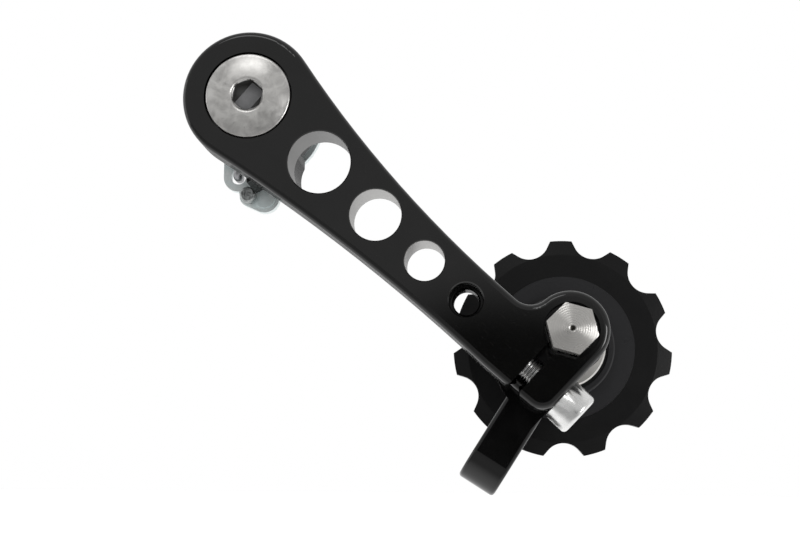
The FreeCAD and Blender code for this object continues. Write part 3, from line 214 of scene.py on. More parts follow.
class Shading:
    """The nodes and links of one material, world or node group."""

    def __init__(self, tree):
        self.tree = tree

    def add(self, kind, inputs=None, **settings):
        """A new node. Its settings are made first, because they choose which sockets it has."""
        node = self.tree.nodes.new(kind)
        for name, value in settings.items():
            setattr(node, name, value)
        for name, value in (inputs or {}).items():
            self.put(node.inputs[name], value)
        return node

    def put(self, socket, value):
        """Link a socket to another one, or set it to a plain value."""
        if isinstance(value, bpy.types.NodeSocket):
            self.tree.links.new(value, socket)
        else:
            socket.default_value = value

    def math(self, operation, first, second=0.0):
        return self.add("ShaderNodeMath", {0: first, 1: second}, operation=operation).outputs[0]

    def vector(self, operation, first, second=(0.0, 0.0, 0.0)):
        """A vector worked out from one or two others."""
        node = self.add("ShaderNodeVectorMath", {0: first, 1: second}, operation=operation)
        return node.outputs["Vector"]

    def measure(self, operation, first, second=(0.0, 0.0, 0.0)):
        """A number worked out from one or two vectors."""
        node = self.add("ShaderNodeVectorMath", {0: first, 1: second}, operation=operation)
        return node.outputs["Value"]

    def parts(self, vector):
        return self.add("ShaderNodeSeparateXYZ", {0: vector}).outputs

    def join(self, x=0.0, y=0.0, z=0.0):
        return self.add("ShaderNodeCombineXYZ", {0: x, 1: y, 2: z}).outputs[0]

    def spread(self, value, low, high, to_low=0.0, to_high=1.0, smooth=False):
        """A value's range low to high stretched to another, and held at its ends."""
        node = self.add(
            "ShaderNodeMapRange",
            {"Value": value, "From Min": low, "From Max": high, "To Min": to_low, "To Max": to_high},
            interpolation_type="SMOOTHSTEP" if smooth else "LINEAR",
        )
        return node.outputs[0]

    def noise(self, vector, size=1.0, detail=3.0, roughness=0.55, distortion=0.0):
        """Noise whose lumps are about size across."""
        node = self.add(
            "ShaderNodeTexNoise",
            {
                "Vector": vector, "Scale": 1.0 / size, "Detail": detail, "Roughness": roughness,
                "Distortion": distortion,
            },
        )
        return node.outputs[0]

    def in_lumps(self, place, size):
        """A place counted in lumps whose size comes from a socket."""
        node = self.add(
            "ShaderNodeVectorMath", {0: place, "Scale": self.math("DIVIDE", 1.0, size)}, operation="SCALE"
        )
        return node.outputs["Vector"]

    def blend(self, factor, first, second):
        """A colour between two, each a socket or a plain colour."""
        ends = [end if isinstance(end, bpy.types.NodeSocket) else (*end, 1.0) for end in (first, second)]
        node = self.add("ShaderNodeMix", dict(zip(MIX_COLOURS, (factor, *ends))), data_type="RGBA")
        return node.outputs[MIXED_COLOUR]

    def mix(self, factor, first, second):
        """A number between two."""
        node = self.add("ShaderNodeMix", dict(zip(MIX_NUMBERS, (factor, first, second))), data_type="FLOAT")
        return node.outputs[MIXED_NUMBER]

    def group(self, name, **inputs):
        """One of the shared effects, with this material's values."""
        tree = bpy.data.node_groups.get(name) or GROUPS[name](name)
        node = self.add("ShaderNodeGroup", node_tree=tree)
        for socket, value in inputs.items():
            self.put(node.inputs[socket.replace("_", " ").capitalize()], value)
        return node.outputs

    def inside(self, place, centre, radius, edge=HAIR):
        """1 inside a round zone about an axis along Y, and 0 outside."""
        return self.group("round_zone", vector=place, centre=centre, radius=radius, edge=edge)["Inside"]

    def from_axis(self, place, centre):
        """Distance from an axis along Y."""
        offset = self.vector("SUBTRACT", place, centre)
        return self.measure("LENGTH", self.vector("MULTIPLY", offset, OFF_AXIS))

    def around(self, place, centre):
        """Direction round an axis along Y, in which turning marks run."""
        offset = self.vector("SUBTRACT", place, centre)
        turned = self.add(
            "ShaderNodeVectorTransform", {0: self.vector("CROSS_PRODUCT", offset, AXIS)},
            vector_type="VECTOR", convert_from="OBJECT", convert_to="WORLD",
        )
        return self.vector("NORMALIZE", turned.outputs[0])

    def facing(self):
        """A face's normal along Y: -1 where it looks to the viewer's side, 1 where it looks away."""
        return self.parts(self.add("ShaderNodeTexCoord").outputs["Normal"])["Y"]

    def bump(self, height, depth, normal=None):
        """A normal for a height of 0 to 1 that stands for a depth in metres."""
        node = self.add("ShaderNodeBump", {"Height": height, "Distance": depth, "Strength": 1.0})
        if normal is not None:
            self.put(node.inputs["Normal"], normal)
        return node.outputs[0]


def shared_group(name, inputs, outputs):
    """A new node group with named sockets. Inputs are (name, kind, default)."""
    tree = bpy.data.node_groups.new(name, "ShaderNodeTree")
    for label, kind, default in inputs:
        socket = tree.interface.new_socket(label, in_out="INPUT", socket_type="NodeSocket" + kind)
        if default is not None:
            socket.default_value = default
    for label in outputs:
        tree.interface.new_socket(label, in_out="OUTPUT", socket_type="NodeSocketFloat")
    shading = Shading(tree)
    start = shading.add("NodeGroupInput")
    end = shading.add("NodeGroupOutput")
    return tree, shading, start.outputs, end.inputs


def grain_group(name):
    """Fine grain over larger clouds, both 0 to 1 about a half."""
    tree, shading, given, out = shared_group(
        name,
        [("Vector", "Vector", None), ("Grain size", "Float", 0.0004), ("Cloud size", "Float", 0.006)],
        ["Grain", "Clouds"],
    )
    fine = shading.in_lumps(given["Vector"], given["Grain size"])
    wide = shading.in_lumps(given["Vector"], given["Cloud size"])
    shading.put(out["Grain"], shading.noise(fine, detail=2.0))
    shading.put(out["Clouds"], shading.noise(wide, detail=4.0, roughness=0.6, distortion=0.6))
    return tree


# about how many turning marks pass before their spacing drifts
DRIFT = 2.6


def rings_group(name):
    """Turning marks round an axis along Y, as a height of 0 to 1."""
    tree, shading, given, out = shared_group(
        name,
        [("Vector", "Vector", None), ("Centre", "Vector", None), ("Spacing", "Float", 0.0002)],
        ["Rings", "Radius"],
    )
    radius = shading.from_axis(given["Vector"], given["Centre"])
    steps = shading.math("DIVIDE", radius, given["Spacing"])
    uneven = shading.noise(shading.join(steps), DRIFT, roughness=0.7)
    turns = shading.math("MULTIPLY", shading.math("ADD", steps, uneven), 2.0 * math.pi)
    wave = shading.spread(shading.math("SINE", turns), -1.0, 1.0)
    shading.put(out["Rings"], shading.mix(0.5, wave, uneven))
    shading.put(out["Radius"], radius)
    return tree


def zone_group(name):
    """1 inside a round zone about an axis along Y, and 0 outside."""
    tree, shading, given, out = shared_group(
        name,
        [
            ("Vector", "Vector", None), ("Centre", "Vector", None), ("Radius", "Float", 0.005),
            ("Edge", "Float", HAIR),
        ],
        ["Inside"],
    )
    radius = shading.from_axis(given["Vector"], given["Centre"])
    past_edge = shading.math("DIVIDE", shading.math("SUBTRACT", radius, given["Radius"]), given["Edge"])
    shading.put(out["Inside"], shading.spread(past_edge, -1.0, 1.0, 1.0, 0.0))
    return tree


# how alike a face's own normal and a rounded one are where it lies flat, and on a sharp edge
FLAT, SHARP = 0.999, 0.93


def edge_group(name):
    """1 on a worn or rubbed edge, from how far the surface turns within a small reach."""
    tree, shading, given, out = shared_group(
        name,
        [("Vector", "Vector", None), ("Reach", "Float", 0.0003), ("Patch size", "Float", 0.001)],
        ["Edge"],
    )
    rounded = shading.add("ShaderNodeBevel", {"Radius": given["Reach"]}, samples=4).outputs[0]
    own = shading.add("ShaderNodeNewGeometry").outputs["Normal"]
    turned = shading.spread(shading.measure("DOT_PRODUCT", rounded, own), FLAT, SHARP)
    lumps = shading.noise(shading.in_lumps(given["Vector"], given["Patch size"]))
    patches = shading.spread(lumps, 0.42, 0.62)
    shading.put(out["Edge"], shading.math("MULTIPLY", turned, patches))
    return tree


def scratches_group(name):
    """Fine scratches down to the right, 1 on a scratch."""
    tree, shading, given, out = shared_group(
        name,
        [("Vector", "Vector", None), ("Length", "Float", 0.002), ("Width", "Float", 0.00006)],
        ["Scratches"],
    )
    place = shading.parts(given["Vector"])
    across = shading.math("DIVIDE", shading.math("ADD", place["X"], place["Z"]), given["Width"])
    along = shading.math("DIVIDE", shading.math("SUBTRACT", place["X"], place["Z"]), given["Length"])
    through = shading.math("DIVIDE", place["Y"], given["Length"])
    lines = shading.noise(shading.join(across, along, through), detail=1.0)
    # only the noise's few highest ridges are scratches
    shading.put(out["Scratches"], shading.spread(lines, 0.69, 0.77))
    return tree


GROUPS = {
    "grain": grain_group, "turning_rings": rings_group, "round_zone": zone_group, "rubbed_edge": edge_group,
    "fine_scratches": scratches_group,
}


# ------------------------------------------------------------------------------------------ finishes

# values between which all but a little of the noise lies, its middle part, and the part that tones a coat
NOISE_SPAN, NOISE_CORE, COAT_SPAN = (0.3, 0.7), (0.35, 0.65), (0.35, 0.7)
# glints stretch across turning marks, a quarter of a turn from the tangent that runs along them
QUARTER_TURN = 0.25
BLACK = (0.0, 0.0, 0.0)


def new_finish(name):
    """A material with its output and its Object coordinates."""
    material = bpy.data.materials.new(name)
    material.use_nodes = True
    material.node_tree.nodes.clear()
    shading = Shading(material.node_tree)
    place = shading.add("ShaderNodeTexCoord").outputs["Object"]
    output = shading.add("ShaderNodeOutputMaterial")
    surface = shading.add("ShaderNodeBsdfPrincipled")
    shading.put(output.inputs["Surface"], surface.outputs[0])
    return material, shading, place, surface.inputs


def toned(tone, share, lift=0.0):
    """A tone made darker or paler, and no paler than white."""
    return [min(1.0, share * part + lift) for part in tone]


# the arm's coat where an edge or a scratch has worn it, and how much of that shows
WORN_COAT, EDGE_WEAR = (0.02, 0.02, 0.02), 0.3
SCRATCHED_COAT, SCRATCH_WEAR = (0.04, 0.04, 0.04), 0.35
# roughness of its front faces, its sides, its bare bores, and of the sheen over its machined faces
FACE_ROUGHNESS, SIDE_ROUGHNESS, BORE_ROUGHNESS, SHEEN_ROUGHNESS = 0.4, (0.5, 0.62), (0.30, 0.42), 0.06
# weight of that sheen in its clouds, what the sides keep of it, and what a scratch leaves
SHEEN_CLOUDS, SIDE_SHEEN, SCRATCHED_SHEEN = (0.95, 0.84), 0.3, 0.3
# normals along Y from which a side turns into a machined front or back face, and into a flat front
TO_FRONT, TO_BACK, TO_FLAT_FRONT = (-0.04, -0.25), (0.3, 0.6), (-0.3, -0.75)
# depth of the coat's grain, and how many times deeper the reamer's marks are
COAT_GRAIN, REAMED_TIMES = 0.000002, 2.5
# from one of the reamer's marks to the next, down a hole
REAMER_FEED = 0.00022
# how much darker the first hole is painted, as painted shade, and how far past its wall that reaches
FIRST_HOLE_SHADE, FIRST_MARGIN = 0.68, 0.001


def arm_finish():
    """Satin black coat, bare aluminium in the drilled holes with painted shade in the first, and scratches
    by the clamp.
    """
    material, shading, place, surface = new_finish("black_coated_arm")
    tones = colours()
    grain = shading.group("grain", vector=place, grain_size=0.00035, cloud_size=0.009)
    edge = shading.group("rubbed_edge", vector=place, reach=0.00025, patch_size=0.0016)["Edge"]
    scratches = shading.group("fine_scratches", vector=place, length=0.003, width=0.00007)["Scratches"]
    depth = shading.parts(place)["Y"]
    facing = shading.facing()
    bare = None
    for along, radius in HOLES:
        inside = shading.inside(place, ALONG * along, radius + 2 * HAIR)
        bare = inside if bare is None else shading.math("MAXIMUM", bare, inside)
    bare = shading.math("MULTIPLY", bare, shading.spread(depth, WALL_BACK - HAIR, WALL_BACK, 1.0, 0.0))

    clouded = shading.spread(grain["Clouds"], *COAT_SPAN)
    coat = shading.blend(clouded, tones.arm_coat, toned(tones.arm_coat, 1.35))
    coat = shading.blend(shading.math("MULTIPLY", edge, EDGE_WEAR), coat, WORN_COAT)
    handled = shading.inside(place, ALONG * HANDLED, HANDLED_RADIUS, HANDLED_EDGE)
    faced = shading.spread(facing, *TO_FLAT_FRONT, smooth=True)
    rubbed = shading.math("MULTIPLY", shading.math("MULTIPLY", scratches, handled), faced)
    coat = shading.blend(shading.math("MULTIPLY", rubbed, SCRATCH_WEAR), coat, SCRATCHED_COAT)

    marks = shading.math("SINE", shading.math("MULTIPLY", depth, 2 * math.pi / REAMER_FEED))
    reamed = shading.mix(0.6, shading.spread(marks, -1.0, 1.0), grain["Grain"])
    metal = shading.blend(reamed, toned(tones.bare_bore, 0.82), tones.bare_bore)
    # the first hole, which runs into the spring cup, is painted darker as painted shade
    along, radius = HOLES[0]
    first = shading.inside(place, ALONG * along, radius + FIRST_MARGIN)
    metal = shading.blend(shading.math("MULTIPLY", first, FIRST_HOLE_SHADE), metal, BLACK)
    shading.put(surface["Base Color"], shading.blend(bare, coat, metal))
    shading.put(surface["Metallic"], bare)

    sides = shading.spread(grain["Grain"], *NOISE_SPAN, *SIDE_ROUGHNESS)
    coated = shading.mix(faced, sides, FACE_ROUGHNESS)
    bored = shading.spread(reamed, 0.0, 1.0, *BORE_ROUGHNESS)
    shading.put(surface["Roughness"], shading.mix(bare, coated, bored))
    surface["Specular IOR Level"].default_value = 0.02
    # the machined faces, front and back, carry the satin sheen, and the sides are duller
    machined = shading.math("MAXIMUM", shading.spread(facing, *TO_FRONT, smooth=True),
                            shading.spread(facing, *TO_BACK, smooth=True))
    clouds = shading.spread(grain["Clouds"], *NOISE_SPAN, *SHEEN_CLOUDS)
    sheen = shading.math("MULTIPLY", shading.spread(machined, 0.0, 1.0, SIDE_SHEEN, 1.0), clouds)
    sheen = shading.math("MULTIPLY", sheen, shading.math("SUBTRACT", 1.0, bare))
    shading.put(surface["Coat Weight"], shading.mix(rubbed, sheen, SCRATCHED_SHEEN))
    surface["Coat Roughness"].default_value = SHEEN_ROUGHNESS
    height = shading.mix(bare, grain["Grain"], shading.math("MULTIPLY", reamed, REAMED_TIMES))
    shading.put(surface["Normal"], shading.bump(height, COAT_GRAIN))
    return material


# the mounting bolt's hex socket: the painted shade on its walls, and its floor between two greys
SOCKET_WALL_SHADE = (0.035, 0.034, 0.032)
SOCKET_FLOOR = (0.20, 0.20, 0.205), (0.27, 0.27, 0.275)
# how far below its mouth the socket's finish has taken over, and how much metal and gloss it keeps
SOCKET_LEAD, SOCKET_METAL, SOCKET_ROUGHNESS = 0.00008, 0.35, 0.6
# normals along Y from which a face in the socket is its floor
TO_SOCKET_FLOOR = (-0.5, -0.9)
# the polished face: its smears' share of the tone, its stains' size, share and strength
SMEARED, STAIN_SIZE, STAINED, STAIN_STRENGTH = 0.7, 0.0009, 0.35, 0.45
# its roughness in its clouds, and the depth of its turning marks
POLISH_ROUGHNESS, POLISH_MARKS = (0.27, 0.36), 0.0000035


def polished_finish():
    """Polished steel with turning marks, smears and small stains, and a dull hex socket with painted shade
    on its walls.
    """
    material, shading, place, surface = new_finish("polished_bolt_steel")
    tones = colours()
    grain = shading.group("grain", vector=place, grain_size=0.0006, cloud_size=0.0024)
    rings = shading.group("turning_rings", vector=place, centre=PIVOT, spacing=0.00016)["Rings"]
    smears = shading.spread(grain["Clouds"], 0.36, 0.62)
    body = shading.blend(smears, toned(tones.polished, SMEARED), tones.polished)
    stains = shading.spread(shading.noise(place, STAIN_SIZE, detail=4.0, roughness=0.7), 0.62, 0.74)
    stains = shading.math("MULTIPLY", stains, STAIN_STRENGTH)
    body = shading.blend(stains, body, toned(tones.polished, STAINED))
    # the socket's floor is dull grey steel, and its walls are painted dark as painted shade
    below = shading.spread(shading.parts(place)["Y"], SOCKET_MOUTH, SOCKET_MOUTH + SOCKET_LEAD)
    socket = shading.math("MULTIPLY", shading.inside(place, PIVOT, SOCKET_REACH), below)
    floor = shading.spread(shading.facing(), *TO_SOCKET_FLOOR)
    dull_and_shaded = shading.blend(floor, SOCKET_WALL_SHADE, shading.blend(grain["Grain"], *SOCKET_FLOOR))
    shading.put(surface["Base Color"], shading.blend(socket, body, dull_and_shaded))
    shading.put(surface["Metallic"], shading.mix(socket, 1.0, SOCKET_METAL))
    shine = shading.spread(grain["Clouds"], *NOISE_SPAN, *POLISH_ROUGHNESS)
    shading.put(surface["Roughness"], shading.mix(socket, shine, SOCKET_ROUGHNESS))
    surface["Anisotropic"].default_value = 0.5
    surface["Anisotropic Rotation"].default_value = QUARTER_TURN
    shading.put(surface["Tangent"], shading.around(place, PIVOT))
    height = shading.mix(0.35, rings, grain["Grain"])
    shading.put(surface["Normal"], shading.bump(height, POLISH_MARKS))
    return material


# normals along Y, whichever way, from which a turned face shows its rings
SQUARE_ON = (0.75, 0.9)
# the turning centre in the middle of a turned face, and the dark tone painted over it
PIP_RADIUS, PIP_EDGE, PIP_DARK = 0.0005, 0.0001, (0.03, 0.028, 0.024)


def turned_finish(name, centre, spacing=0.00022, cut=0.000004, shine=(0.30, 0.38), streak=0.5,
                  crown=0.0):
    """Turned steel, with its marks round an axis along Y; a crown bellies the face by that much."""
    material, shading, place, surface = new_finish(name)
    tones = colours()
    grain = shading.group("grain", vector=place, grain_size=0.0005, cloud_size=0.004)
    rings = shading.group("turning_rings", vector=place, centre=centre, spacing=spacing)
    radius, rings = rings["Radius"], rings["Rings"]
    square_on = shading.spread(shading.math("ABSOLUTE", shading.facing()), *SQUARE_ON)
    marks = shading.mix(square_on, grain["Grain"], rings)
    body = shading.blend(marks, toned(tones.turned, 0.88), tones.turned)
    clouded = shading.spread(grain["Clouds"], *NOISE_CORE, 0.0, 0.3)
    body = shading.blend(clouded, body, toned(tones.turned, 0.6))
    # a small dark spot is painted over the turning centre
    pip = shading.inside(place, centre, PIP_RADIUS, PIP_EDGE)
    shading.put(surface["Base Color"], shading.blend(pip, body, PIP_DARK))
    surface["Metallic"].default_value = 1.0
    shading.put(surface["Roughness"], shading.spread(grain["Clouds"], *NOISE_SPAN, *shine))
    surface["Anisotropic"].default_value = streak
    surface["Anisotropic Rotation"].default_value = QUARTER_TURN
    shading.put(surface["Tangent"], shading.around(place, centre))
    belly = None
    if crown:
        out = shading.math("DIVIDE", radius, HEX_REACH)
        bellied = shading.math("SUBTRACT", 1.0, shading.math("MULTIPLY", out, out))
        belly = shading.bump(shading.math("MULTIPLY", bellied, square_on), crown)
    shading.put(surface["Normal"], shading.bump(marks, cut, belly))
    return material


def plated_finish(name, tone, grain_size, cloud_size, shine, tint=None, dent=0.000006, metallic=1.0):
    """Plated or drawn metal: clouds in its shine, fine grain, rubbed edges."""
    material, shading, place, surface = new_finish(name)
    grain = shading.group("grain", vector=place, grain_size=grain_size, cloud_size=cloud_size)
    edge = shading.group("rubbed_edge", vector=place, reach=0.0002, patch_size=0.0012)["Edge"]
    body = shading.blend(shading.spread(grain["Clouds"], *NOISE_CORE), tint or toned(tone, 0.84), tone)
    body = shading.blend(shading.math("MULTIPLY", edge, 0.4), body, toned(tone, 1.2))
    shading.put(surface["Base Color"], body)
    surface["Metallic"].default_value = metallic
    shading.put(surface["Roughness"], shading.spread(grain["Clouds"], *NOISE_SPAN, *shine))
    shading.put(surface["Normal"], shading.bump(grain["Grain"], dent))
    return material


def coated_finish(name, tone, shine, peel, peel_size, wear, gloss=0.5, middle=None):
    """Paint, coat or moulded plastic: peel or grain in the surface, uneven sheen, rubbed edges.

    middle is the centre, radius and tone of a round patch painted paler, as painted light on a face.
    """
    material, shading, place, surface = new_finish(name)
    grain = shading.group("grain", vector=place, grain_size=peel_size, cloud_size=0.007)
    edge = shading.group("rubbed_edge", vector=place, reach=0.00025, patch_size=0.0014)["Edge"]
    body = shading.blend(shading.spread(grain["Clouds"], *COAT_SPAN), tone, toned(tone, 1.3))
    if middle:
        centre, radius, paler = middle
        body = shading.blend(shading.inside(place, centre, radius, edge=0.0001), body, paler)
    body = shading.blend(shading.math("MULTIPLY", edge, wear), body, toned(tone, 3.5, lift=0.02))
    shading.put(surface["Base Color"], body)
    surface["Specular IOR Level"].default_value = gloss
    shading.put(surface["Roughness"], shading.spread(grain["Clouds"], *NOISE_SPAN, *shine))
    shading.put(surface["Normal"], shading.bump(grain["Grain"], peel))
    return material


# ---------------------------------------------------------------------------------------- new pieces

def merged_copy(node):
    """A carried-over solid's mesh with its corners joined, to be reworked."""
    copy = bmesh.new()
    copy.from_mesh(frame["nodes"][node].data)
    bmesh.ops.remove_doubles(copy, verts=copy.verts, dist=SAME_IN_COPY)
    return copy


# an edge that turns by more than this stays crisp
CRISP = math.radians(32)


def new_piece(name, shape):
    """An object of a finished shape, smooth but for its sharp edges."""
    mesh = bpy.data.meshes.new(name)
    shape.to_mesh(mesh)
    shape.free()
    mesh.shade_smooth()
    mesh.set_sharp_from_angle(angle=CRISP)
    piece = bpy.data.objects.new(name, mesh)
    bpy.context.scene.collection.objects.link(piece)
    # long walls keep their own normals beside a narrow rounding
    weighted = piece.modifiers.new("weighted_normals", "WEIGHTED_NORMAL")
    weighted.keep_sharp = True
    return piece


RING_STEPS = 56


def turned_ring(name, centre, profile):
    """A closed ring about an axis along Y, turned from a profile of radius and place along Y."""
    ring = bmesh.new()
    corners = [ring.verts.new(centre + Vector((radius, along_y, 0.0))) for radius, along_y in profile]
    edges = [ring.edges.new(pair) for pair in zip(corners, corners[1:] + corners[:1])]
    bmesh.ops.spin(
        ring, geom=corners + edges, cent=centre, axis=AXIS, dvec=(0, 0, 0), angle=2 * math.pi,
        steps=RING_STEPS, use_merge=True, use_duplicate=False,
    )
    bmesh.ops.remove_doubles(ring, verts=ring.verts, dist=SAME_POINT)
    bmesh.ops.recalc_face_normals(ring, faces=ring.faces)
    return new_piece(name, ring)


def dress(node, material):
    """Give a carried-over solid its finish."""
    slots = frame["nodes"][node].material_slots
    for slot in slots:
        slot.material = material
    if not len(slots):
        frame["nodes"][node].data.materials.append(material)


# -------------------------------------------------------------------------------------- cut threads

# a cut thread's sizes, and the steps that make one turn of it
Thread = namedtuple("Thread", "radius depth pitch length chamfer steps")

# shares of a turn at which a thread's root ends, its crest starts and its crest ends
ROOT_END, CREST_START, CREST_END = 0.18, 0.48, 0.66
# share of a turn within which a thread's points are merged
MERGE_SHARE = 0.02
# plain shank that is left where a cut thread starts
SHANK_LEFT = 0.0002


def cut_off(shape, point, direction):
    """Take away what lies beyond a point, and close the cut."""
    cut = bmesh.ops.bisect_plane(
        shape, geom=shape.verts[:] + shape.edges[:] + shape.faces[:], dist=SAME_POINT,
        plane_co=point, plane_no=direction, clear_outer=True,
    )
    rim = [item for item in cut["geom_cut"] if isinstance(item, bmesh.types.BMEdge)]
    bmesh.ops.holes_fill(shape, edges=rim)


def thread_shape(size):
    """A closed screw thread about +Z from 0 to its length, its far end chamfered."""
    thread = bmesh.new()
    root = size.radius - size.depth
    corners = []
    for turn in range(-2, math.ceil(size.length / size.pitch) + 2):
        start = turn * size.pitch
        corners += [
            (root, start), (root, start + ROOT_END * size.pitch),
            (size.radius, start + CREST_START * size.pitch), (size.radius, start + CREST_END * size.pitch),
        ]
    line = [thread.verts.new((out, 0.0, up)) for out, up in corners]
    edges = [thread.edges.new(pair) for pair in zip(line, line[1:])]
    bmesh.ops.spin(
        thread, geom=line + edges, cent=(0, 0, 0), axis=(0, 0, 1), dvec=(0, 0, size.pitch / size.steps),
        angle=2 * math.pi, steps=size.steps, use_merge=False, use_duplicate=False,
    )
    bmesh.ops.remove_doubles(thread, verts=thread.verts, dist=size.pitch * MERGE_SHARE)
    cut_off(thread, (0, 0, 0), (0, 0, -1))
    cut_off(thread, (0, 0, size.length), (0, 0, 1))
    for vertex in thread.verts:
        reach = math.hypot(vertex.co.x, vertex.co.y)
        allowed = size.radius - size.chamfer + (size.length - vertex.co.z)
        if reach > allowed:
            bmesh.ops.scale(thread, vec=(allowed / reach, allowed / reach, 1.0), verts=[vertex])
    bmesh.ops.recalc_face_normals(thread, faces=thread.faces)
    return thread


def threaded_screw(name, node, seat, direction, size):
    """A copy of a screw's solid with its plain shank cut away and a thread in its place."""
    screw = merged_copy(node)
    cut_off(screw, seat + direction * SHANK_LEFT, direction)
    thread = thread_shape(size)
    turn = Vector((0, 0, 1)).rotation_difference(direction).to_matrix().to_4x4()
    thread.transform(Matrix.Translation(seat) @ turn)
    shank = bpy.data.meshes.new(name + "_thread")
    thread.to_mesh(shank)
    thread.free()
    screw.from_mesh(shank)
    bpy.data.meshes.remove(shank)
    piece = new_piece(name, screw)
    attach(piece, frame["nodes"][node]["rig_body"])
    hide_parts(node)
    return piece


# ----------------------------------------------------------------------------------------- operators

class TENSIONER_OT_mount(bpy.types.Operator):
    """Mounting bolt with its cut thread, ring, stop plate and pins, the spring, and the axle's zinc nut"""
    bl_idname = "tensioner.mount"
    bl_label = "Mount"

    def execute(self, context):
        tones, cuts = colours(), sizes()
        thread = Thread(BOLT_RADIUS, cuts.hanger_depth, cuts.hanger_pitch, BOLT_LENGTH, cuts.hanger_chamfer,
                        BOLT_STEPS)
        bolt = threaded_screw(
            "mounting_bolt_cut", "mounting_bolt", BOLT_SEAT, Vector(AXIS), thread,
        )
        bolt.data.materials.append(polished_finish())
        zinc = plated_finish(
            "bright_zinc", tones.zinc, grain_size=0.0004, cloud_size=0.0022, shine=(0.3, 0.45),
            tint=tones.zinc_tint, dent=0.00001, metallic=0.55,
        )
        pin = plated_finish(
            "sheared_pin", toned(tones.zinc, 0.6), grain_size=0.0004, cloud_size=0.0009, shine=(0.3, 0.5),
            tint=toned(tones.zinc, 0.25), dent=0.00012,
        )
        wire = plated_finish(
            "spring_wire", tones.spring, grain_size=0.0003, cloud_size=0.003, shine=(0.25, 0.4)
        )
        for node in ("stop_plate", "axle_nut"):
            dress(node, zinc)
        for node in ("arm_stop_pin", "hanger_pin"):
            dress(node, pin)
        dress("retaining_ring", wire)
        spring = new_piece("wound_spring", merged_copy("torsion_spring"))
        spring.data.materials.append(wire)
        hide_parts("torsion_spring")
        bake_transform(spring)
        return {"FINISHED"}


class TENSIONER_OT_arm(bpy.types.Operator):
    """Black coated arm with bare drilled holes, the step in its fourth hole, and its two bushes"""
    bl_idname = "tensioner.arm"
    bl_label = "Arm"

    def execute(self, context):
        coat = arm_finish()
        dress("arm", coat)
        # the fourth hole is narrower towards the wheel
        front, back = WALL_BACK - STEP_LENGTH, WALL_BACK + HAIR
        step = turned_ring("fourth_hole_step", ALONG * FOURTH_HOLE, [
            (FOURTH_RADIUS, front), (STEP_BORE + STEP_CHAMFER, front), (STEP_BORE, front + STEP_CHAMFER),
            (STEP_BORE, back), (FOURTH_RADIUS, back),
        ])
        step.data.materials.append(coat)
        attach(step, "arm")
        bush = coated_finish(
            "bush_plastic", colours().bush, shine=(0.45, 0.6), peel=0.00001, peel_size=0.0003, wear=0.1
        )
        for node in ("pivot_bush_front", "pivot_bush_rear"):
            dress(node, bush)
        return {"FINISHED"}


class TENSIONER_OT_clamp(bpy.types.Operator):
    """Clamp screw with its cut thread, the chain guide and its screw"""
    bl_idname = "tensioner.clamp"
    bl_label = "Clamp"

    def execute(self, context):
        tones, cuts = colours(), sizes()
        thread = Thread(CLAMP_RADIUS, cuts.clamp_depth, cuts.clamp_pitch, CLAMP_LENGTH, cuts.clamp_chamfer,
                        CLAMP_STEPS)
        screw = threaded_screw("clamp_screw_cut", "pinch_screw", CLAMP_SEAT, -ALONG, thread)
        screw.data.materials.append(plated_finish(
            "bright_cap_screw", tones.plated, grain_size=0.0014, cloud_size=0.0016, shine=(0.22, 0.3),
            dent=0.0000012,
        ))
        dress("chain_guide", coated_finish(
            "glossy_guide_coat", tones.guide_coat, shine=(0.09, 0.13), peel=0.000002, peel_size=0.0009,
            wear=0.5,
        ))
        dress("guide_screw", coated_finish(
            "black_oxide", tones.oxide, shine=(0.3, 0.42), peel=0.000006, peel_size=0.0003, wear=0.6
        ))
        return {"FINISHED"}


class TENSIONER_OT_axle(bpy.types.Operator):
    """Hex bolt, sleeve and rear cap of the axle"""
    bl_idname = "tensioner.axle"
    bl_label = "Axle"

    def execute(self, context):
        dress("axle_bolt", turned_finish(
            "turned_hex_face", AXLE, spacing=0.0004, cut=0.00002, shine=(0.24, 0.32), streak=0.75,
            crown=0.0003,
        ))
        fine = turned_finish("fine_turned_steel", AXLE)
        for node in ("axle_sleeve", "rear_cap"):
            dress(node, fine)
        return {"FINISHED"}


class TENSIONER_OT_wheel(bpy.types.Operator):
    """Toothed pulley and its ball bearing"""
    bl_idname = "tensioner.wheel"
    bl_label = "Pulley wheel"

    def execute(self, context):
        tones = colours()
        # the pulley's inner disc is painted paler, as painted light on its face
        dress("pulley_wheel", coated_finish(
            "moulded_nylon", tones.nylon, shine=(0.27, 0.34), peel=0.000006, peel_size=0.00045, wear=0.2,
            gloss=0.24, middle=(AXLE, DISC_RADIUS, toned(tones.nylon, 12.0)),
        ))
        race = turned_finish("ground_race", AXLE, spacing=0.00012, cut=0.000002, shine=(0.1, 0.18))
        for node in ("bearing_inner_race", "bearing_outer_race"):
            dress(node, race)
        dress("bearing_balls", plated_finish(
            "ball_steel", tones.polished, grain_size=0.0004, cloud_size=0.002, shine=(0.05, 0.1),
            dent=0.000001,
        ))
        sheet = plated_finish(
            "pressed_shield", toned(tones.turned, 0.75), grain_size=0.0004, cloud_size=0.002,
            shine=(0.28, 0.4),
        )
        for node in ("bearing_shield_front", "bearing_shield_rear", "bearing_cage"):
            dress(node, sheet)
        return {"FINISHED"}


# -------------------------------------------------------------------------------------------- studio

# each lamp's name, place, width and height, and the level that powers it
LAMPS = (
    ("key_lamp", (-0.09, -0.56, 0.42), (0.24, 0.2), "key"),
    ("left_lamp", (-0.62, -0.10, 0.10), (0.4, 0.4), "left"),
    ("right_lamp", (0.44, -0.42, -0.06), (0.2, 0.22), "right"),
)
# the camera's place and directions, and its film width and focal length in millimetres
CAMERA_PLACE = (0.04462, -0.27071, -0.06695)
CAMERA_FORWARD, CAMERA_RIGHT = (-0.0671, 0.9875, 0.1427), (0.9977, 0.0665, 0.0096)
FILM_WIDTH, FOCAL_LENGTH = 36.0, 64.3
NEAREST_SEEN, FARTHEST_SEEN = 0.01, 20.0
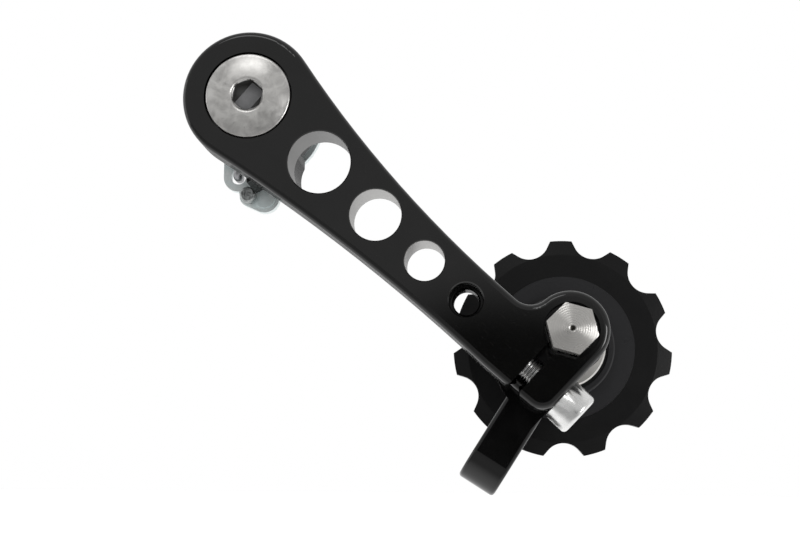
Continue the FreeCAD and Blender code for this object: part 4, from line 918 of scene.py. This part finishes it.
# where the dark camera stands, as the part mirrors it, and the angles at which it fades and is gone
LENS_SIDE = Vector((0.0, -1.0, 0.0))
LENS_INSIDE, LENS_OUTSIDE = math.radians(5.4), math.radians(8.4)
# a direction's part along Y at which the viewer's side ends, and at which the far side starts
FRONT_ENDS, BACK_STARTS = -0.7, 0.2

FLOOR_RADIUS, FLOOR_SEGMENTS = 6.0, 96
# size of the floor's faint clouds
FLOOR_CLOUD = 0.25
# from where to where, along Y, the floor that the part mirrors falls into the viewer's shade
SHADE_STARTS, SHADE_FULL = -0.02, -0.16
# the floor's tone in that shade, and the light that it gives off elsewhere, so that it looks white
SHADED_FLOOR, FLOOR_GLOW = (0.45, 0.45, 0.45), (0.42, 0.42, 0.42)


def lamp(name, place, target, size, watts):
    """A soft box that looks at a point."""
    light = bpy.data.lights.new(name, "AREA")
    light.shape = "RECTANGLE"
    light.size, light.size_y = size
    light.energy = watts
    holder = bpy.data.objects.new(name, light)
    holder.location = place
    holder.rotation_euler = (Vector(target) - Vector(place)).to_track_quat("-Z", "Y").to_euler()
    bpy.context.scene.collection.objects.link(holder)


def backdrop():
    """A white world, greyer on the viewer's side, where the dark camera stands."""
    world = bpy.data.worlds.new("studio")
    world.use_nodes = True
    world.node_tree.nodes.clear()
    shading = Shading(world.node_tree)
    towards = shading.add("ShaderNodeTexCoord").outputs["Generated"]
    path = shading.add("ShaderNodeLightPath").outputs
    # how far a direction is from the dark camera's, as an angle
    from_lens = shading.measure("DISTANCE", towards, LENS_SIDE)
    front = shading.spread(from_lens, LENS_INSIDE, LENS_OUTSIDE, levels().lens, levels().front, smooth=True)
    behind = shading.spread(shading.parts(towards)["Y"], FRONT_ENDS, BACK_STARTS, smooth=True)
    all_round = shading.mix(behind, front, levels().back)
    strength = shading.mix(path["Is Camera Ray"], all_round, 1.0)
    sky = shading.add("ShaderNodeBackground", {"Color": (1, 1, 1, 1), "Strength": strength})
    output = shading.add("ShaderNodeOutputWorld")
    shading.put(output.inputs["Surface"], sky.outputs[0])
    bpy.context.scene.world = world


def floor_finish():
    """Pale floor that looks white, and keeps the part's shadow."""
    material, shading, place, surface = new_finish("studio_floor")
    tone = colours().floor
    cloud = shading.noise(place, FLOOR_CLOUD, detail=2.0)
    path = shading.add("ShaderNodeLightPath").outputs
    # the viewer stands in the way of what shiny faces would mirror of the floor's near side
    near = shading.spread(shading.parts(place)["Y"], SHADE_STARTS, SHADE_FULL, smooth=True)
    shaded = shading.math("MULTIPLY", near, path["Is Glossy Ray"])
    pale = shading.blend(cloud, toned(tone, 0.99), tone)
    shading.put(surface["Base Color"], shading.blend(shaded, pale, SHADED_FLOOR))
    shading.put(surface["Roughness"], shading.spread(cloud, *NOISE_SPAN, 0.7, 0.8))
    seen = shading.math("MAXIMUM", path["Is Camera Ray"],
                        shading.math("MAXIMUM", path["Is Glossy Ray"], path["Is Transmission Ray"]))
    surface["Emission Strength"].default_value = 1.0
    glow = shading.blend(shading.math("SUBTRACT", seen, shaded), BLACK, FLOOR_GLOW)
    shading.put(surface["Emission Color"], glow)
    return material


class TENSIONER_OT_studio(bpy.types.Operator):
    """Floor, backdrop, lamps and camera"""
    bl_idname = "tensioner.studio"
    bl_label = "Studio"

    def execute(self, context):
        low, high = CAD_BOX
        floor = bmesh.new()
        bmesh.ops.create_circle(floor, cap_ends=True, segments=FLOOR_SEGMENTS, radius=FLOOR_RADIUS)
        bmesh.ops.translate(floor, vec=(0, 0, low.z - levels().floor_drop), verts=floor.verts)
        mesh = bpy.data.meshes.new("floor")
        floor.to_mesh(mesh)
        floor.free()
        ground = bpy.data.objects.new("floor", mesh)
        mesh.materials.append(floor_finish())
        context.scene.collection.objects.link(ground)
        backdrop()
        middle = (low + high) / 2
        for name, place, size, power in LAMPS:
            lamp(name, place, middle, size, getattr(levels(), power))
        camera = bpy.data.cameras.new("camera")
        camera.sensor_width, camera.lens = FILM_WIDTH, FOCAL_LENGTH
        camera.clip_start, camera.clip_end = NEAREST_SEEN, FARTHEST_SEEN
        forward = Vector(CAMERA_FORWARD).normalized()
        up = Vector(CAMERA_RIGHT).normalized().cross(forward).normalized()
        right = forward.cross(up).normalized()
        turn = Matrix((right, up, -forward)).transposed().to_4x4()
        eye = bpy.data.objects.new("camera", camera)
        eye.matrix_world = Matrix.Translation(CAMERA_PLACE) @ turn
        context.scene.collection.objects.link(eye)
        context.scene.camera = eye
        context.scene.view_settings.view_transform = "Standard"
        return {"FINISHED"}


class TENSIONER_PT_sidebar(bpy.types.Panel):
    """Sizes, colours and steps of the chain tensioner"""
    bl_label = "Chain tensioner"
    bl_idname = "TENSIONER_PT_sidebar"
    bl_space_type = "VIEW_3D"
    bl_region_type = "UI"
    bl_category = "Tensioner"

    def draw(self, context):
        for group in (sizes(), colours(), levels()):
            box = self.layout.box()
            for name in group.__annotations__:
                box.prop(group, name)
        for step in STEPS:
            self.layout.operator(step.bl_idname)


STEPS = (
    TENSIONER_OT_mount, TENSIONER_OT_arm, TENSIONER_OT_clamp, TENSIONER_OT_axle, TENSIONER_OT_wheel,
    TENSIONER_OT_studio,
)
CLASSES = (TensionerColours, TensionerSizes, TensionerStudio, *STEPS, TENSIONER_PT_sidebar)


def register():
    for item in CLASSES:
        bpy.utils.register_class(item)
    bpy.types.Scene.tensioner_colours = PointerProperty(type=TensionerColours)
    bpy.types.Scene.tensioner_sizes = PointerProperty(type=TensionerSizes)
    bpy.types.Scene.tensioner_studio = PointerProperty(type=TensionerStudio)


def unregister():
    del bpy.types.Scene.tensioner_studio
    del bpy.types.Scene.tensioner_sizes
    del bpy.types.Scene.tensioner_colours
    for item in reversed(CLASSES):
        bpy.utils.unregister_class(item)


def main():
    register()
    bpy.ops.tensioner.mount()
    bpy.ops.tensioner.arm()
    bpy.ops.tensioner.clamp()
    bpy.ops.tensioner.axle()
    bpy.ops.tensioner.wheel()
    bpy.ops.tensioner.studio()


if __name__ == "__main__":
    main()
